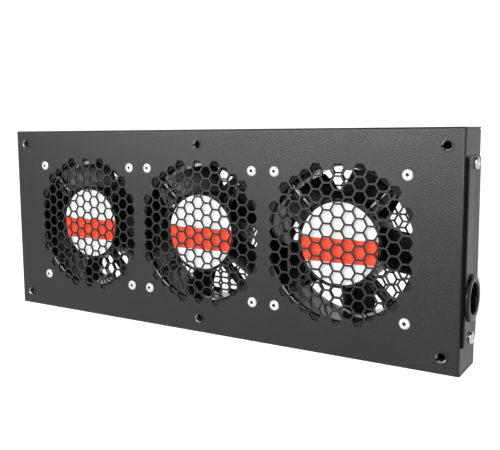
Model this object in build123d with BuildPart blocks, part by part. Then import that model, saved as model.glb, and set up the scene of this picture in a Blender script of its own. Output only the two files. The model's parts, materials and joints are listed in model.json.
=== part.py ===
from build123d import *
import os
from math import cos, radians, sin, sqrt

# Rack fan tray: a folded steel tray with three punched honeycombs, three axial fans riveted behind
# them, a rear cover that closes the tray, and an end plate with the cable entry.
# It stands on its long lower wall, as it is pictured. Millimetres.
# Origin: centre of the front face. X runs along the tray, Y goes in through the front face, Z is up.

# Folded tray
tray_length = 432.0
tray_height = 170.0
wall_depth = 39.0
sheet = 1.2
bend_radius = 2.0
corner_slit = 0.4
inner_length = tray_length - 2 * sheet
inner_height = tray_height - 2 * sheet

# Honeycomb, one round patch in front of each fan
cell_across_flats = 8.7
cell_pitch = 10.05
honeycomb_radius = 60.0

# Fans, the usual 120 x 120 x 38 size
fan_pitch = 125.0
fan_size = 119.5
fan_depth = 38.0
fan_screw_square = 104.8
fan_corner_radius = 5.0
flange_thickness = 5.5
barrel_radius = 59.2
duct_radius = 57.3
fan_front = sheet
fan_rear = fan_front + fan_depth
fan_hole_radius = 2.15

# Fan struts and motor base, on the side that faces the honeycomb
strut_width = 7.0
strut_front = 2.9
strut_depth = 4.1
strut_groove_width = 4.0
strut_groove_depth = 2.0
base_radius = 33.5
base_front = strut_front
base_rear = 7.0
label_radius = 31.0
label_seat_radius = 31.4
label_seat_depth = 1.1
label_thickness = 0.4
label_back = base_front + label_seat_depth

# Motor inside the hub
tube_radius = 9.0
tube_rear = 30.0
bearing_radius = 6.5
bearing_width = 5.0
bearing_starts = (8.5, 24.5)
shaft_radius = 2.0
shaft_clearance = 0.03
shaft_front = 6.0
shaft_rear = 37.2
clip_radius = 4.2
clip_thickness = 0.8
clip_gap = 0.3
core_radius = 22.0
core_front = 14.0
core_rear = 26.0
winding_radius = 20.0
winding_height = 4.0
air_gap = 0.4
rotor_front = 12.0
rotor_rear = 28.0

# Impeller
hub_radius = 32.5
hub_bore_radius = 30.2
hub_front = 8.4
hub_rear = 37.8
hub_floor = 2.5
hub_edge = 2.0
boss_radius = 6.0
boss_front = 30.0
blade_count = 5
blade_tip_radius = 55.8
blade_root_radius = 26.0
blade_seat_radius = 31.5
blade_front = 11.0
blade_rear = 35.5
blade_half_span = 17.5
blade_thickness = 2.2
blade_camber = 4.0
blade_lean = 2.4
blade_tail = 0.8
blade_nose = 0.5
blade_overrun = 4.0

# Each fan's place along the tray, and the angle of one of its blades as it stopped
fans = {"left": (-fan_pitch, 35.0), "middle": (0.0, 39.0), "right": (fan_pitch, 63.0)}

# Blind rivets that hold the fans
rivet_head_radius = 4.2
rivet_head_height = 1.3
rivet_crown_radius = 2.6
rivet_shank_radius = 2.1
rivet_bulb_radius = 3.1
rivet_bulb_length = 3.5

# Threaded inserts in the six mounting holes
mount_length = 407.0
mount_height = 145.5
insert_flange_radius = 4.9
insert_flange_height = 0.5
insert_body_radius = 4.5
insert_mouth_radius = 3.7
insert_mouth_depth = 6.5
insert_thread_radius = 2.6
insert_length = 14.0

# Rear cover, a shallow pan that slides inside the tray's walls
cover_front_face = 40.4
cover_rear = cover_front_face + sheet
cover_end_gap = 0.6
cover_length = inner_length - cover_end_gap
cover_flange_front = 24.0
cover_lip_front = 35.0
cover_opening_radius = 58.0
cover_screw_x = (-160.0, 0.0, 160.0)
cover_screw_y = 30.0
cover_screw_radius = 1.5
cover_screw_head_radius = cover_screw_radius + sheet
cover_screw_length = 6.0

# End plate with the cable entry
plate_height = 131.0
plate_front = 1.0
plate_rear = 34.0
plate_thickness = 2.4
plate_corner_radius = 3.0
plate_edge_radius = 1.6
plate_face = tray_length / 2 + plate_thickness
plate_centre_y = (plate_front + plate_rear) / 2
plate_screw_z = 60.5
plate_screw_radius = 2.0
plate_screw_head_radius = 4.2
plate_screw_crown_radius = 2.4
plate_screw_head_height = 2.5
plate_screw_length = 8.0
screw_clearance = 0.1

# Rubber grommet
grommet_z = -32.5
grommet_outer_radius = 16.5
grommet_inner_radius = 15.5
grommet_groove_radius = 14.0
grommet_bore_radius = 11.25
grommet_proud = 2.4
grommet_inner_lip = 2.8
grommet_edge = 1.2

# Wiring inside the tray
lead_radius = 2.0
lead_y = 18.0
lead_bend = 6.0
lead_levels = {"right": -67.0, "middle": -72.0, "left": -77.0}
lead_risers = {"right": 194.0, "middle": 199.0, "left": 204.0}
plug_near = 38.0
plug_far = 58.0
plug_front = 14.0
plug_rear = 27.0
plug_lead_x = 50.0
plug_centre = (plug_near + plug_far) / 2
block_left = 188.0
block_right = 210.0
block_bottom = -18.0
block_top = 24.0
block_depth = 22.0
block_well_depth = 3.0
barrier_thickness = 1.6
block_ways = 3
stud_radius = 1.5
stud_x = 199.0
stud_offset = 3.5
stud_end = 1.5
nut_across_flats = 5.5
nut_height = 2.4
foot_height = 7.0
foot_thickness = 4.0
clip_places = (-20.0, 120.0)
clip_width = 8.0
clip_bottom = -80.5
clip_top = -68.5
clip_rear = 21.0


def front_plane(depth, x=0.0):
    """Plane facing out of the front face, at a depth behind it: local x is X, local y is Z."""
    return Plane(origin=(x, depth, 0), x_dir=(1, 0, 0), z_dir=(0, -1, 0))


def end_plane(x, z=0.0):
    """Plane facing out of the right end: local x is Y, local y is Z."""
    return Plane(origin=(x, plate_centre_y, z), x_dir=(0, 1, 0), z_dir=(1, 0, 0))


def axis_section(x):
    """Plane through a fan's axis: local x is the radius, local y the depth."""
    return Plane(origin=(x, 0, 0), x_dir=(1, 0, 0), z_dir=(0, 0, 1))


def blade_plane(x, angle):
    """Plane across a blade at its root: local x runs round the axis, local y towards the front."""
    outward = (cos(radians(angle)), 0, sin(radians(angle)))
    around = (-outward[2], 0, outward[0])
    origin = (x + blade_root_radius * outward[0], 0, blade_root_radius * outward[2])
    return Plane(origin=origin, x_dir=around, z_dir=outward)


def honeycomb_cells():
    """Centres of the cells of one patch, about its own centre."""
    column_pitch = cell_pitch * sqrt(3) / 2
    reach = int(honeycomb_radius / (cell_pitch / 2)) + 1
    cells = []
    for column in range(-reach, reach + 1):
        for row in range(-reach, reach + 1):
            x = column * column_pitch
            z = row * cell_pitch / 2
            if (column + row) % 2 and x * x + z * z <= honeycomb_radius**2:
                cells.append((x, z))
    return cells


def save(piece, name):
    """Labels a finished piece and writes it to its own file."""
    piece.part.label = name
    export_step(piece.part, f"parts/{name}.step")


os.makedirs("parts", exist_ok=True)
fan_places = [place for place, angle in fans.values()]
half_square = fan_screw_square / 2
rivet_places = [
    (x + across, up)
    for x in fan_places
    for across in (-half_square, half_square)
    for up in (-half_square, half_square)
]
mount_places = [
    (x, z)
    for x in (-mount_length / 2, 0, mount_length / 2)
    for z in (-mount_height / 2, mount_height / 2)
]
cover_screw_planes = [
    Plane(origin=(x, cover_screw_y, side * tray_height / 2), z_dir=(0, 0, side))
    for side in (-1, 1)
    for x in cover_screw_x
]

# Front tray: one folded sheet, open at the rear, with slits where its corners meet
with BuildPart() as front_tray:
    with BuildSketch(front_plane(0)):
        Rectangle(tray_length, tray_height)
    extrude(amount=-wall_depth)
    fillet(front_tray.faces().sort_by(Axis.Y)[0].edges(), bend_radius)
    with BuildSketch(front_plane(wall_depth)):
        Rectangle(inner_length, inner_height)
    extrude(amount=wall_depth - sheet, mode=Mode.SUBTRACT)
    inner_faces = front_tray.faces().filter_by(Axis.Y).sort_by(Axis.Y)
    panel_back = inner_faces[1]
    fillet(panel_back.edges(), bend_radius - sheet)
    with BuildSketch(front_plane(wall_depth)):
        with GridLocations(tray_length - sheet, inner_height - corner_slit, 2, 2):
            Rectangle(sheet, corner_slit)
    extrude(amount=wall_depth - bend_radius, mode=Mode.SUBTRACT)
    with BuildSketch(front_plane(0)):
        for x in fan_places:
            with Locations(*[(x + a, z) for a, z in honeycomb_cells()]):
                RegularPolygon(cell_across_flats / 2, 6, major_radius=False)
        with Locations(*rivet_places):
            Circle(fan_hole_radius)
        with Locations(*mount_places):
            Circle(insert_body_radius)
    extrude(amount=-sheet, mode=Mode.SUBTRACT)
    with BuildSketch(end_plane(tray_length / 2)):
        with Locations((0, grommet_z)):
            Circle(grommet_groove_radius)
        with Locations((0, plate_screw_z), (0, -plate_screw_z)):
            Circle(plate_screw_radius + screw_clearance)
    extrude(amount=-sheet, mode=Mode.SUBTRACT)
    with Locations(*cover_screw_planes):
        CounterSinkHole(cover_screw_radius, cover_screw_head_radius, depth=sheet)
save(front_tray, "front_tray")

# Rear cover: a pan whose long flanges lie against the tray's long walls
with BuildPart() as rear_cover:
    with BuildSketch(front_plane(cover_rear)):
        Rectangle(cover_length, inner_height)
    extrude(amount=cover_rear - cover_flange_front)
    fillet(rear_cover.faces().sort_by(Axis.Y)[-1].edges(), bend_radius)
    with BuildSketch(front_plane(cover_front_face)):
        Rectangle(cover_length - 2 * sheet, inner_height - 2 * sheet)
    extrude(amount=cover_front_face - cover_flange_front, mode=Mode.SUBTRACT)
    with BuildSketch(front_plane(cover_lip_front)):
        with GridLocations(cover_length - sheet, 0, 2, 1):
            Rectangle(sheet, inner_height)
    extrude(amount=cover_lip_front - cover_flange_front, mode=Mode.SUBTRACT)
    with BuildSketch(front_plane(cover_rear)):
        with Locations(*[(x, 0) for x in fan_places]):
            Circle(cover_opening_radius)
    extrude(amount=sheet, mode=Mode.SUBTRACT)
    with BuildSketch(Plane.XY.offset(-inner_height / 2)):
        with Locations(*[(x, cover_screw_y) for x in cover_screw_x]):
            Circle(cover_screw_radius + screw_clearance)
    extrude(amount=inner_height, mode=Mode.SUBTRACT)
save(rear_cover, "rear_cover")

# Countersunk screws through the long walls into the cover's flanges
with BuildPart() as cover_screw:
    with BuildSketch(Plane.XZ):
        with BuildLine():
            Polyline(
                (0, 0),
                (cover_screw_head_radius, 0),
                (cover_screw_radius, -sheet),
                (cover_screw_radius, -cover_screw_length),
                (0, -cover_screw_length),
                close=True,
            )
        make_face()
    revolve(axis=Axis.Z)
with BuildPart() as cover_screws:
    with Locations(*cover_screw_planes):
        add(cover_screw.part)
save(cover_screws, "cover_screws")

# Blind rivets through the panel and the fans' front flanges
rivet_grip = fan_front + flange_thickness
with BuildPart() as rivet:
    with BuildSketch(Plane.XY):
        with BuildLine():
            Polyline(
                (0, -rivet_head_height),
                (rivet_crown_radius, -rivet_head_height),
                (rivet_head_radius, 0),
                (rivet_shank_radius, 0),
                (rivet_shank_radius, rivet_grip),
                (rivet_bulb_radius, rivet_grip),
                (rivet_bulb_radius, rivet_grip + rivet_bulb_length),
                (0, rivet_grip + rivet_bulb_length),
                close=True,
            )
        make_face()
    revolve(axis=Axis.Y)
with BuildPart() as fan_rivets:
    with Locations(*[(x, 0, z) for x, z in rivet_places]):
        add(rivet.part)
save(fan_rivets, "fan_rivets")

# Threaded inserts: a thin flange on the front face, a wide mouth and the thread behind it
with BuildPart() as insert:
    with BuildSketch(Plane.XY):
        with BuildLine():
            Polyline(
                (insert_mouth_radius, -insert_flange_height),
                (insert_flange_radius, -insert_flange_height),
                (insert_flange_radius, 0),
                (insert_body_radius, 0),
                (insert_body_radius, insert_length),
                (insert_thread_radius, insert_length),
                (insert_thread_radius, insert_mouth_depth),
                (insert_mouth_radius, insert_mouth_depth),
                close=True,
            )
        make_face()
    revolve(axis=Axis.Y)
with BuildPart() as mounting_inserts:
    with Locations(*[(x, 0, z) for x, z in mount_places]):
        add(insert.part)
save(mounting_inserts, "mounting_inserts")

# End plate over the right end wall
with BuildPart() as end_plate:
    with BuildSketch(end_plane(tray_length / 2)):
        RectangleRounded(plate_rear - plate_front, plate_height, plate_corner_radius)
        with Locations((0, grommet_z)):
            Circle(grommet_groove_radius, mode=Mode.SUBTRACT)
        with Locations((0, plate_screw_z), (0, -plate_screw_z)):
            Circle(plate_screw_radius + screw_clearance, mode=Mode.SUBTRACT)
    extrude(amount=plate_thickness)
    outer_face = end_plate.faces().sort_by(Axis.X)[-1]
    fillet(outer_face.outer_wire().edges(), plate_edge_radius)
save(end_plate, "end_plate")

# Pan-head screws that hold the end plate
with BuildPart() as plate_screw:
    with BuildSketch(Plane.XY):
        with BuildLine():
            Polyline(
                (-plate_screw_length, 0),
                (-plate_screw_length, plate_screw_radius),
                (0, plate_screw_radius),
                (0, plate_screw_head_radius),
                (plate_screw_head_height / 2, plate_screw_head_radius),
                (plate_screw_head_height, plate_screw_crown_radius),
                (plate_screw_head_height, 0),
                close=True,
            )
        make_face()
    revolve(axis=Axis.X)
with BuildPart() as end_plate_screws:
    with Locations(*[(plate_face, plate_centre_y, z) for z in (plate_screw_z, -plate_screw_z)]):
        add(plate_screw.part)
save(end_plate_screws, "end_plate_screws")

# Grommet: its groove grips the plate and the wall behind it together
wall_inside = tray_length / 2 - sheet
with BuildPart() as grommet:
    with BuildSketch(Plane(origin=(0, plate_centre_y, grommet_z), x_dir=(1, 0, 0), z_dir=(0, -1, 0))):
        with BuildLine():
            Polyline(
                (wall_inside - grommet_inner_lip, grommet_bore_radius),
                (plate_face + grommet_proud, grommet_bore_radius),
                (plate_face + grommet_proud, grommet_outer_radius - grommet_edge),
                (plate_face + grommet_proud - grommet_edge, grommet_outer_radius),
                (plate_face, grommet_outer_radius),
                (plate_face, grommet_groove_radius),
                (wall_inside, grommet_groove_radius),
                (wall_inside, grommet_inner_radius),
                (wall_inside - grommet_inner_lip, grommet_groove_radius),
                close=True,
            )
        make_face()
    revolve(axis=Axis((0, plate_centre_y, grommet_z), (1, 0, 0)))
save(grommet, "grommet")

# Section of a blade: the corners of its leading and trailing edges and the crowns of its two faces
blade_middle = -(blade_front + blade_rear) / 2
nose_front = (blade_half_span, -blade_front)
nose_back = (blade_half_span + blade_nose, -blade_front - 2 * blade_nose)
tail_front = (-blade_half_span, -blade_rear)
tail_back = (blade_tail - blade_half_span, -blade_rear - blade_tail)
crown_front = (blade_lean, blade_middle + blade_camber)
crown_back = (blade_lean + blade_thickness / 2, blade_middle + blade_camber - blade_thickness)

# Fans: frame and impeller each in a node of their own
for side, (fan_x, blade_angle) in fans.items():
    axis = Axis((fan_x, 0, 0), (0, 1, 0))

    # Frame: two square flanges on a round barrel, four channelled struts, the motor base and its tube
    with BuildPart() as fan_frame:
        for flange_front in (fan_front, fan_rear - flange_thickness):
            with BuildSketch(front_plane(flange_front, fan_x)):
                RectangleRounded(fan_size, fan_size, fan_corner_radius)
                with GridLocations(fan_screw_square, fan_screw_square, 2, 2):
                    Circle(fan_hole_radius, mode=Mode.SUBTRACT)
            extrude(amount=-flange_thickness)
        with BuildSketch(front_plane(fan_front, fan_x)):
            Circle(barrel_radius)
        extrude(amount=-fan_depth)
        with BuildSketch(front_plane(fan_front, fan_x)):
            Circle(duct_radius)
        extrude(amount=-fan_depth, mode=Mode.SUBTRACT)
        with BuildSketch(front_plane(strut_front, fan_x)):
            for angle in (45, 135):
                Rectangle(barrel_radius + duct_radius, strut_width, rotation=angle)
        extrude(amount=-strut_depth)
        with BuildSketch(front_plane(strut_front, fan_x)):
            for angle in (45, 135):
                Rectangle(2 * duct_radius, strut_groove_width, rotation=angle)
        extrude(amount=-strut_groove_depth, mode=Mode.SUBTRACT)
        with BuildSketch(front_plane(base_front, fan_x)):
            Circle(base_radius)
        extrude(amount=base_front - base_rear)
        with BuildSketch(front_plane(base_front, fan_x)):
            Circle(label_seat_radius)
        extrude(amount=-label_seat_depth, mode=Mode.SUBTRACT)
        with BuildSketch(front_plane(base_rear, fan_x)):
            Circle(tube_radius)
        extrude(amount=base_rear - tube_rear)
        with BuildSketch(front_plane(label_back, fan_x)):
            Circle(bearing_radius)
        extrude(amount=label_back - tube_rear, mode=Mode.SUBTRACT)
    save(fan_frame, f"fan_frame_{side}")

    # Blades: a cambered section carried straight out from the hub and trimmed round at the tip
    with BuildPart() as blades:
        for step in range(blade_count):
            with BuildSketch(blade_plane(fan_x, blade_angle + step * 360 / blade_count)):
                with BuildLine():
                    ThreePointArc(nose_front, crown_front, tail_front)
                    Line(tail_front, tail_back)
                    ThreePointArc(tail_back, crown_back, nose_back)
                    Line(nose_back, nose_front)
                make_face()
            extrude(amount=blade_tip_radius + blade_overrun - blade_root_radius)
        with BuildSketch(front_plane(0, fan_x)):
            Circle(blade_tip_radius)
            Circle(blade_seat_radius, mode=Mode.SUBTRACT)
        extrude(amount=-fan_rear, mode=Mode.INTERSECT)
    with BuildPart() as impeller:
        with BuildSketch(axis_section(fan_x)):
            with BuildLine():
                Polyline(
                    (shaft_radius, hub_rear),
                    (hub_radius - hub_edge, hub_rear),
                    (hub_radius, hub_rear - hub_edge),
                    (hub_radius, hub_front),
                    (hub_bore_radius, hub_front),
                    (hub_bore_radius, hub_rear - hub_floor),
                    (boss_radius, hub_rear - hub_floor),
                    (boss_radius, boss_front),
                    (shaft_radius, boss_front),
                    close=True,
                )
            make_face()
        revolve(axis=axis)
        add(blades.part)
    save(impeller, f"impeller_{side}")

    # Rotor ring pressed into the hub, the shaft and the clip that keeps it in the bearings
    with BuildPart() as rotor_ring:
        with BuildSketch(front_plane(rotor_front, fan_x)):
            Circle(hub_bore_radius)
            Circle(core_radius + air_gap, mode=Mode.SUBTRACT)
        extrude(amount=rotor_front - rotor_rear)
    save(rotor_ring, f"rotor_ring_{side}")
    with BuildPart() as shaft:
        with BuildSketch(front_plane(shaft_front, fan_x)):
            Circle(shaft_radius)
        extrude(amount=shaft_front - shaft_rear)
    save(shaft, f"shaft_{side}")
    with BuildPart() as shaft_clip:
        with BuildSketch(front_plane(bearing_starts[0] - clip_gap, fan_x)):
            Circle(clip_radius)
            Circle(shaft_radius, mode=Mode.SUBTRACT)
        extrude(amount=clip_thickness)
    save(shaft_clip, f"shaft_clip_{side}")

# What the three fans carry alike on the tray's side of their motors
with BuildPart() as fan_labels:
    for x in fan_places:
        with BuildSketch(front_plane(label_back, x)):
            Circle(label_radius)
        extrude(amount=label_thickness)
save(fan_labels, "fan_labels")

with BuildPart() as motor_bearings:
    for x in fan_places:
        for start in bearing_starts:
            with BuildSketch(front_plane(start, x)):
                Circle(bearing_radius)
                Circle(shaft_radius + shaft_clearance, mode=Mode.SUBTRACT)
            extrude(amount=-bearing_width)
save(motor_bearings, "motor_bearings")

with BuildPart() as stator_cores:
    for x in fan_places:
        with BuildSketch(front_plane(core_front, x)):
            Circle(core_radius)
            Circle(tube_radius, mode=Mode.SUBTRACT)
        extrude(amount=core_front - core_rear)
save(stator_cores, "stator_cores")

with BuildPart() as stator_windings:
    for x in fan_places:
        for start in (core_front - winding_height, core_rear):
            with BuildSketch(front_plane(start, x)):
                Circle(winding_radius)
                Circle(tube_radius, mode=Mode.SUBTRACT)
            extrude(amount=-winding_height)
save(stator_windings, "stator_windings")

# Plugs on the fans' terminals, in the lower right corner of each barrel
with BuildPart() as fan_plugs:
    for x in fan_places:
        with BuildSketch(front_plane(plug_front, x)):
            with Locations((plug_centre, -plug_centre)):
                Rectangle(plug_far - plug_near, plug_far - plug_near)
            Circle(barrel_radius, mode=Mode.SUBTRACT)
        extrude(amount=plug_front - plug_rear)
save(fan_plugs, "fan_plugs")

# Leads from the plugs along the bottom of the tray and up to the terminal block
for side, (fan_x, blade_angle) in fans.items():
    with BuildPart() as fan_lead:
        with BuildLine(front_plane(lead_y)):
            route = FilletPolyline(
                (fan_x + plug_lead_x, -plug_far),
                (fan_x + plug_lead_x, lead_levels[side]),
                (lead_risers[side], lead_levels[side]),
                (lead_risers[side], block_bottom),
                radius=lead_bend,
            )
        with BuildSketch(Plane(origin=route @ 0, z_dir=route % 0)):
            Circle(lead_radius)
        sweep(path=route)
    save(fan_lead, f"fan_lead_{side}")

# Clips that hold the leads off the sheet
with BuildPart() as lead_clips:
    for x in clip_places:
        with BuildSketch(front_plane(sheet, x)):
            with Locations((0, (clip_bottom + clip_top) / 2)):
                Rectangle(clip_width, clip_top - clip_bottom)
        extrude(amount=sheet - clip_rear)
    with BuildSketch(Plane(origin=(0, lead_y, 0), x_dir=(0, 1, 0), z_dir=(1, 0, 0))):
        with Locations((0, lead_levels["left"]), (0, lead_levels["middle"])):
            Circle(lead_radius)
    extrude(amount=tray_length / 2, both=True, mode=Mode.SUBTRACT)
save(lead_clips, "lead_clips")

# Terminal block: a body with three open ways between barriers, and a foot at each end
block_width = block_right - block_left
block_centre = (block_left + block_right) / 2
way_height = (block_top - block_bottom - barrier_thickness) / block_ways
with BuildPart() as terminal_block:
    with BuildSketch(front_plane(sheet)):
        with Locations((block_centre, (block_top + block_bottom) / 2)):
            Rectangle(block_width, block_top - block_bottom)
    extrude(amount=-block_depth)
    with BuildSketch(front_plane(sheet + block_depth)):
        for way in range(block_ways):
            with Locations((block_centre, block_bottom + barrier_thickness / 2 + (way + 0.5) * way_height)):
                Rectangle(block_width, way_height - barrier_thickness)
    extrude(amount=block_well_depth, mode=Mode.SUBTRACT)
    with BuildSketch(front_plane(sheet)):
        with Locations((block_centre, block_top + foot_height / 2)):
            Rectangle(block_width / 2, foot_height)
    extrude(amount=-foot_thickness)
    with BuildSketch(front_plane(sheet)):
        with Locations((stud_x, block_top + stud_offset)):
            Circle(stud_radius + screw_clearance)
    extrude(amount=-foot_thickness, mode=Mode.SUBTRACT)
save(terminal_block, "terminal_block")

# Stud pressed into the panel's back, and the nut on it
with BuildPart() as terminal_stud:
    with BuildSketch(front_plane(sheet)):
        with Locations((stud_x, block_top + stud_offset)):
            Circle(stud_radius)
    extrude(amount=-(foot_thickness + nut_height + stud_end))
save(terminal_stud, "terminal_stud")
with BuildPart() as terminal_nut:
    with BuildSketch(front_plane(sheet + foot_thickness)):
        with Locations((stud_x, block_top + stud_offset)):
            RegularPolygon(nut_across_flats / 2, 6, major_radius=False)
            Circle(stud_radius, mode=Mode.SUBTRACT)
    extrude(amount=-nut_height)
save(terminal_nut, "terminal_nut")
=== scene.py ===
"""Finish of a rack fan tray, laid over its packed construction model.

The construction model gives every place, size and joint. This file gives the surfaces: the coated
sheet with its punched honeycombs, the die-cast fans behind them, their moulded wheels, the small
bright fasteners, and a plain studio round them.

Metres, in the construction model's frame: the origin is the centre of the front face, X runs along
the tray, Y goes in through the front face and Z is up. Sizes in the classes are millimetres, apart
from the studio's, which are metres.
"""

import json
import logging
import math
from abc import ABC, abstractmethod
from collections.abc import Callable, Iterator, Sequence
from contextlib import contextmanager
from dataclasses import dataclass
from enum import Enum

import bpy
from mathutils import Matrix, Vector

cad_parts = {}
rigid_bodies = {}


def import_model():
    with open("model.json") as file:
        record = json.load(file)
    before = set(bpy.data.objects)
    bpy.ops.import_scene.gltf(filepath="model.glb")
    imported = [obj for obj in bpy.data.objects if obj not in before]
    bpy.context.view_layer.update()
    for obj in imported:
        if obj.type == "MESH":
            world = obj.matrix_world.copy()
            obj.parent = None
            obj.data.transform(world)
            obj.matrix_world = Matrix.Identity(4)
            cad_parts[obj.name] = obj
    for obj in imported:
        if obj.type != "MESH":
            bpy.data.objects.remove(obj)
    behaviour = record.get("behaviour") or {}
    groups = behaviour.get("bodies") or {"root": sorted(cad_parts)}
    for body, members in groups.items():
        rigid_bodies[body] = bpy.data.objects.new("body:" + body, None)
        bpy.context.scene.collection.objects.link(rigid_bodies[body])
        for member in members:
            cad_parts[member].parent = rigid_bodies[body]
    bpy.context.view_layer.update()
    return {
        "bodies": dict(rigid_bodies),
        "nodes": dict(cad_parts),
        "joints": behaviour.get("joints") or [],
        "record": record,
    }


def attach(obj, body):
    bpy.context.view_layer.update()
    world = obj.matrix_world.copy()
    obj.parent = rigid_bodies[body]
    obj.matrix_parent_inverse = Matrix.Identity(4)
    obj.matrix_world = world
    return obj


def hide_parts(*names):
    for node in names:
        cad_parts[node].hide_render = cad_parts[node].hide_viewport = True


log = logging.getLogger("fan_tray")

MM = 0.001

# How close two points lie that a weld merges, in metres
MERGE_DISTANCE = 0.002 * MM
# How near a point lies to the place that it is picked by, in millimetres
NEAR = 0.01
# The least part of a face's normal along an axis that it is square to
SQUARE = 0.9
# How far a cutting shape runs past what it cuts, in millimetres
SPARE = 1.0

# Sizes and places that several pieces share, in millimetres. A fan's screws make a square about
# its axis, and the inserts' pattern is 407.0 by 145.5 mm.
TRAY_LENGTH = 432.0
TRAY_HEIGHT = 170.0
SHEET = 1.2
FAN_PITCH = 125.0
FAN_X = {"left": -FAN_PITCH, "middle": 0.0, "right": FAN_PITCH}
HALF_SQUARE = 104.8 / 2
FAN_SCREWS = tuple((x, z) for x in (-HALF_SQUARE, HALF_SQUARE) for z in (-HALF_SQUARE, HALF_SQUARE))
RIVET_PLACES = tuple((fan + x, z) for fan in FAN_X.values() for x, z in FAN_SCREWS)
INSERT_X, INSERT_Z = 407.0 / 2, 145.5 / 2
INSERT_PLACES = tuple((x, z) for x in (-INSERT_X, 0.0, INSERT_X) for z in (-INSERT_Z, INSERT_Z))
COVER_SCREW_X = (-160.0, 0.0, 160.0)
COVER_SCREW_Y = 30.0
COVER_SCREW_RADIUS = 1.5
CABLE_HOLE_Y = 17.5
CABLE_HOLE_Z = -32.5
CABLE_HOLE_RADIUS = 14.0

# A point in a plane or on a profile, a place in space, and tests that pick faces or edges
Point = tuple[float, float]
Place = tuple[float, float, float]
Profile = Sequence[Point]
FaceTest = Callable[[bpy.types.MeshPolygon], bool]
PlaceTest = Callable[[Vector], bool]


class Axis(Enum):
    """Directions that a round piece turns about."""

    X = (1.0, 0.0, 0.0)
    Y = (0.0, 1.0, 0.0)
    Z = (0.0, 0.0, 1.0)


class Pick(Enum):
    """What an edit works on."""

    VERTICES = (True, False, False)
    EDGES = (False, True, False)
    FACES = (False, False, True)


# Selecting and editing


def deselect_all() -> None:
    """Leaves no object selected, so that an operator acts only on what is picked next."""
    bpy.ops.object.select_all(action="DESELECT")


def make_active(piece: bpy.types.Object) -> None:
    """Selects one object alone and makes it the active one."""
    deselect_all()
    piece.select_set(True)
    bpy.context.view_layer.objects.active = piece


@contextmanager
def editing(piece: bpy.types.Object, pick: Pick = Pick.FACES) -> Iterator[None]:
    """Opens a piece in edit mode for the length of a with block.

    Args:
        piece: The object to edit.
        pick: Whether vertices, edges or faces are being edited.
    """
    make_active(piece)
    bpy.context.tool_settings.mesh_select_mode = pick.value
    bpy.ops.object.mode_set(mode="EDIT")
    yield
    bpy.ops.object.mode_set(mode="OBJECT")


def clear_picks(mesh: bpy.types.Mesh) -> None:
    """Clears every selection flag of a mesh, in object mode."""
    for elements in (mesh.vertices, mesh.edges, mesh.polygons):
        elements.foreach_set("select", [False] * len(elements))


def pick_faces(piece: bpy.types.Object, test: FaceTest) -> None:
    """Picks the faces of a piece that pass a test.

    Args:
        piece: The object, in object mode.
        test: Takes a face.
    """
    clear_picks(piece.data)
    for face in piece.data.polygons:
        face.select = test(face)


def pick_edges(piece: bpy.types.Object, test: PlaceTest) -> None:
    """Picks the edges of a piece whose two ends both pass a test.

    Args:
        piece: The object, in object mode.
        test: Takes the place of an edge's end.
    """
    clear_picks(piece.data)
    passed = [test(vertex.co) for vertex in piece.data.vertices]
    for edge in piece.data.edges:
        edge.select = all(passed[i] for i in edge.vertices)


def pick_rims(piece: bpy.types.Object, test: PlaceTest) -> None:
    """Picks the edges round a flat plate's walls whose two ends both pass a test.

    Args:
        piece: The plate, square to the Y axis.
        test: Takes the place of an edge's end.
    """
    pick_edges(piece, test)
    walls = [face for face in piece.data.polygons if abs(face.normal.y) < 1 - SQUARE]
    rims = {key for face in walls for key in face.edge_keys}
    for edge in piece.data.edges:
        edge.select = edge.select and edge.key in rims


def delete_faces(piece: bpy.types.Object, test: FaceTest) -> None:
    """Deletes the faces of a piece that pass a test.

    Args:
        piece: The object, in object mode.
        test: Takes a face.
    """
    pick_faces(piece, test)
    with editing(piece):
        bpy.ops.mesh.delete(type="FACE")


def bevel_picks(piece: bpy.types.Object, width: float, segments: int) -> None:
    """Rounds the picked edges of a piece, by a width in millimetres."""
    with editing(piece, Pick.EDGES):
        bpy.ops.mesh.bevel(offset=width * MM, segments=segments, affect="EDGES")


def off_axis(place: Vector) -> float:
    """Measures how far a place lies from the Y axis, in millimetres."""
    return math.hypot(place.x, place.z) / MM


def named(name: str, scale: Sequence[float] = (1.0, 1.0, 1.0)) -> bpy.types.Object:
    """Names the object that an operator has just added, with its place moved into its mesh.

    Args:
        name: The object's name.
        scale: How far it is stretched along its own axes.

    Returns:
        The object, at the origin.
    """
    piece = bpy.context.active_object
    piece.name = name
    piece.data.name = name
    piece.scale = scale
    make_active(piece)
    bpy.ops.object.transform_apply(location=True, rotation=True, scale=True)
    return piece


def use_modifier(piece: bpy.types.Object, kind: str, **settings: object) -> None:
    """Adds a modifier with its settings and applies it.

    Args:
        piece: The object.
        kind: The modifier's type.
        **settings: Its properties.
    """
    make_active(piece)
    modifier = piece.modifiers.new(kind.lower(), kind)
    for key, value in settings.items():
        setattr(modifier, key, value)
    bpy.ops.object.modifier_apply(modifier=modifier.name)


def joined(pieces: Sequence[bpy.types.Object], name: str) -> bpy.types.Object:
    """Joins pieces into one object.

    Args:
        pieces: The objects, which are used up.
        name: The name of the result.

    Returns:
        The joined object.
    """
    make_active(pieces[0])
    for other in pieces[1:]:
        other.select_set(True)
    if len(pieces) > 1:
        bpy.ops.object.join()
    pieces[0].name = name
    pieces[0].data.name = name
    return pieces[0]


def cut(piece: bpy.types.Object, tools: Sequence[bpy.types.Object], keep: bool = False) -> None:
    """Cuts a piece with other shapes, which are used up.

    Args:
        piece: The object to cut.
        tools: The shapes that cut it, clear of one another.
        keep: True to keep only what lies inside the shapes.
    """
    tool = joined(tools, "cutter")
    operation = "INTERSECT" if keep else "DIFFERENCE"
    use_modifier(piece, "BOOLEAN", operation=operation, solver="EXACT", object=tool)
    bpy.data.objects.remove(tool)


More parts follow.
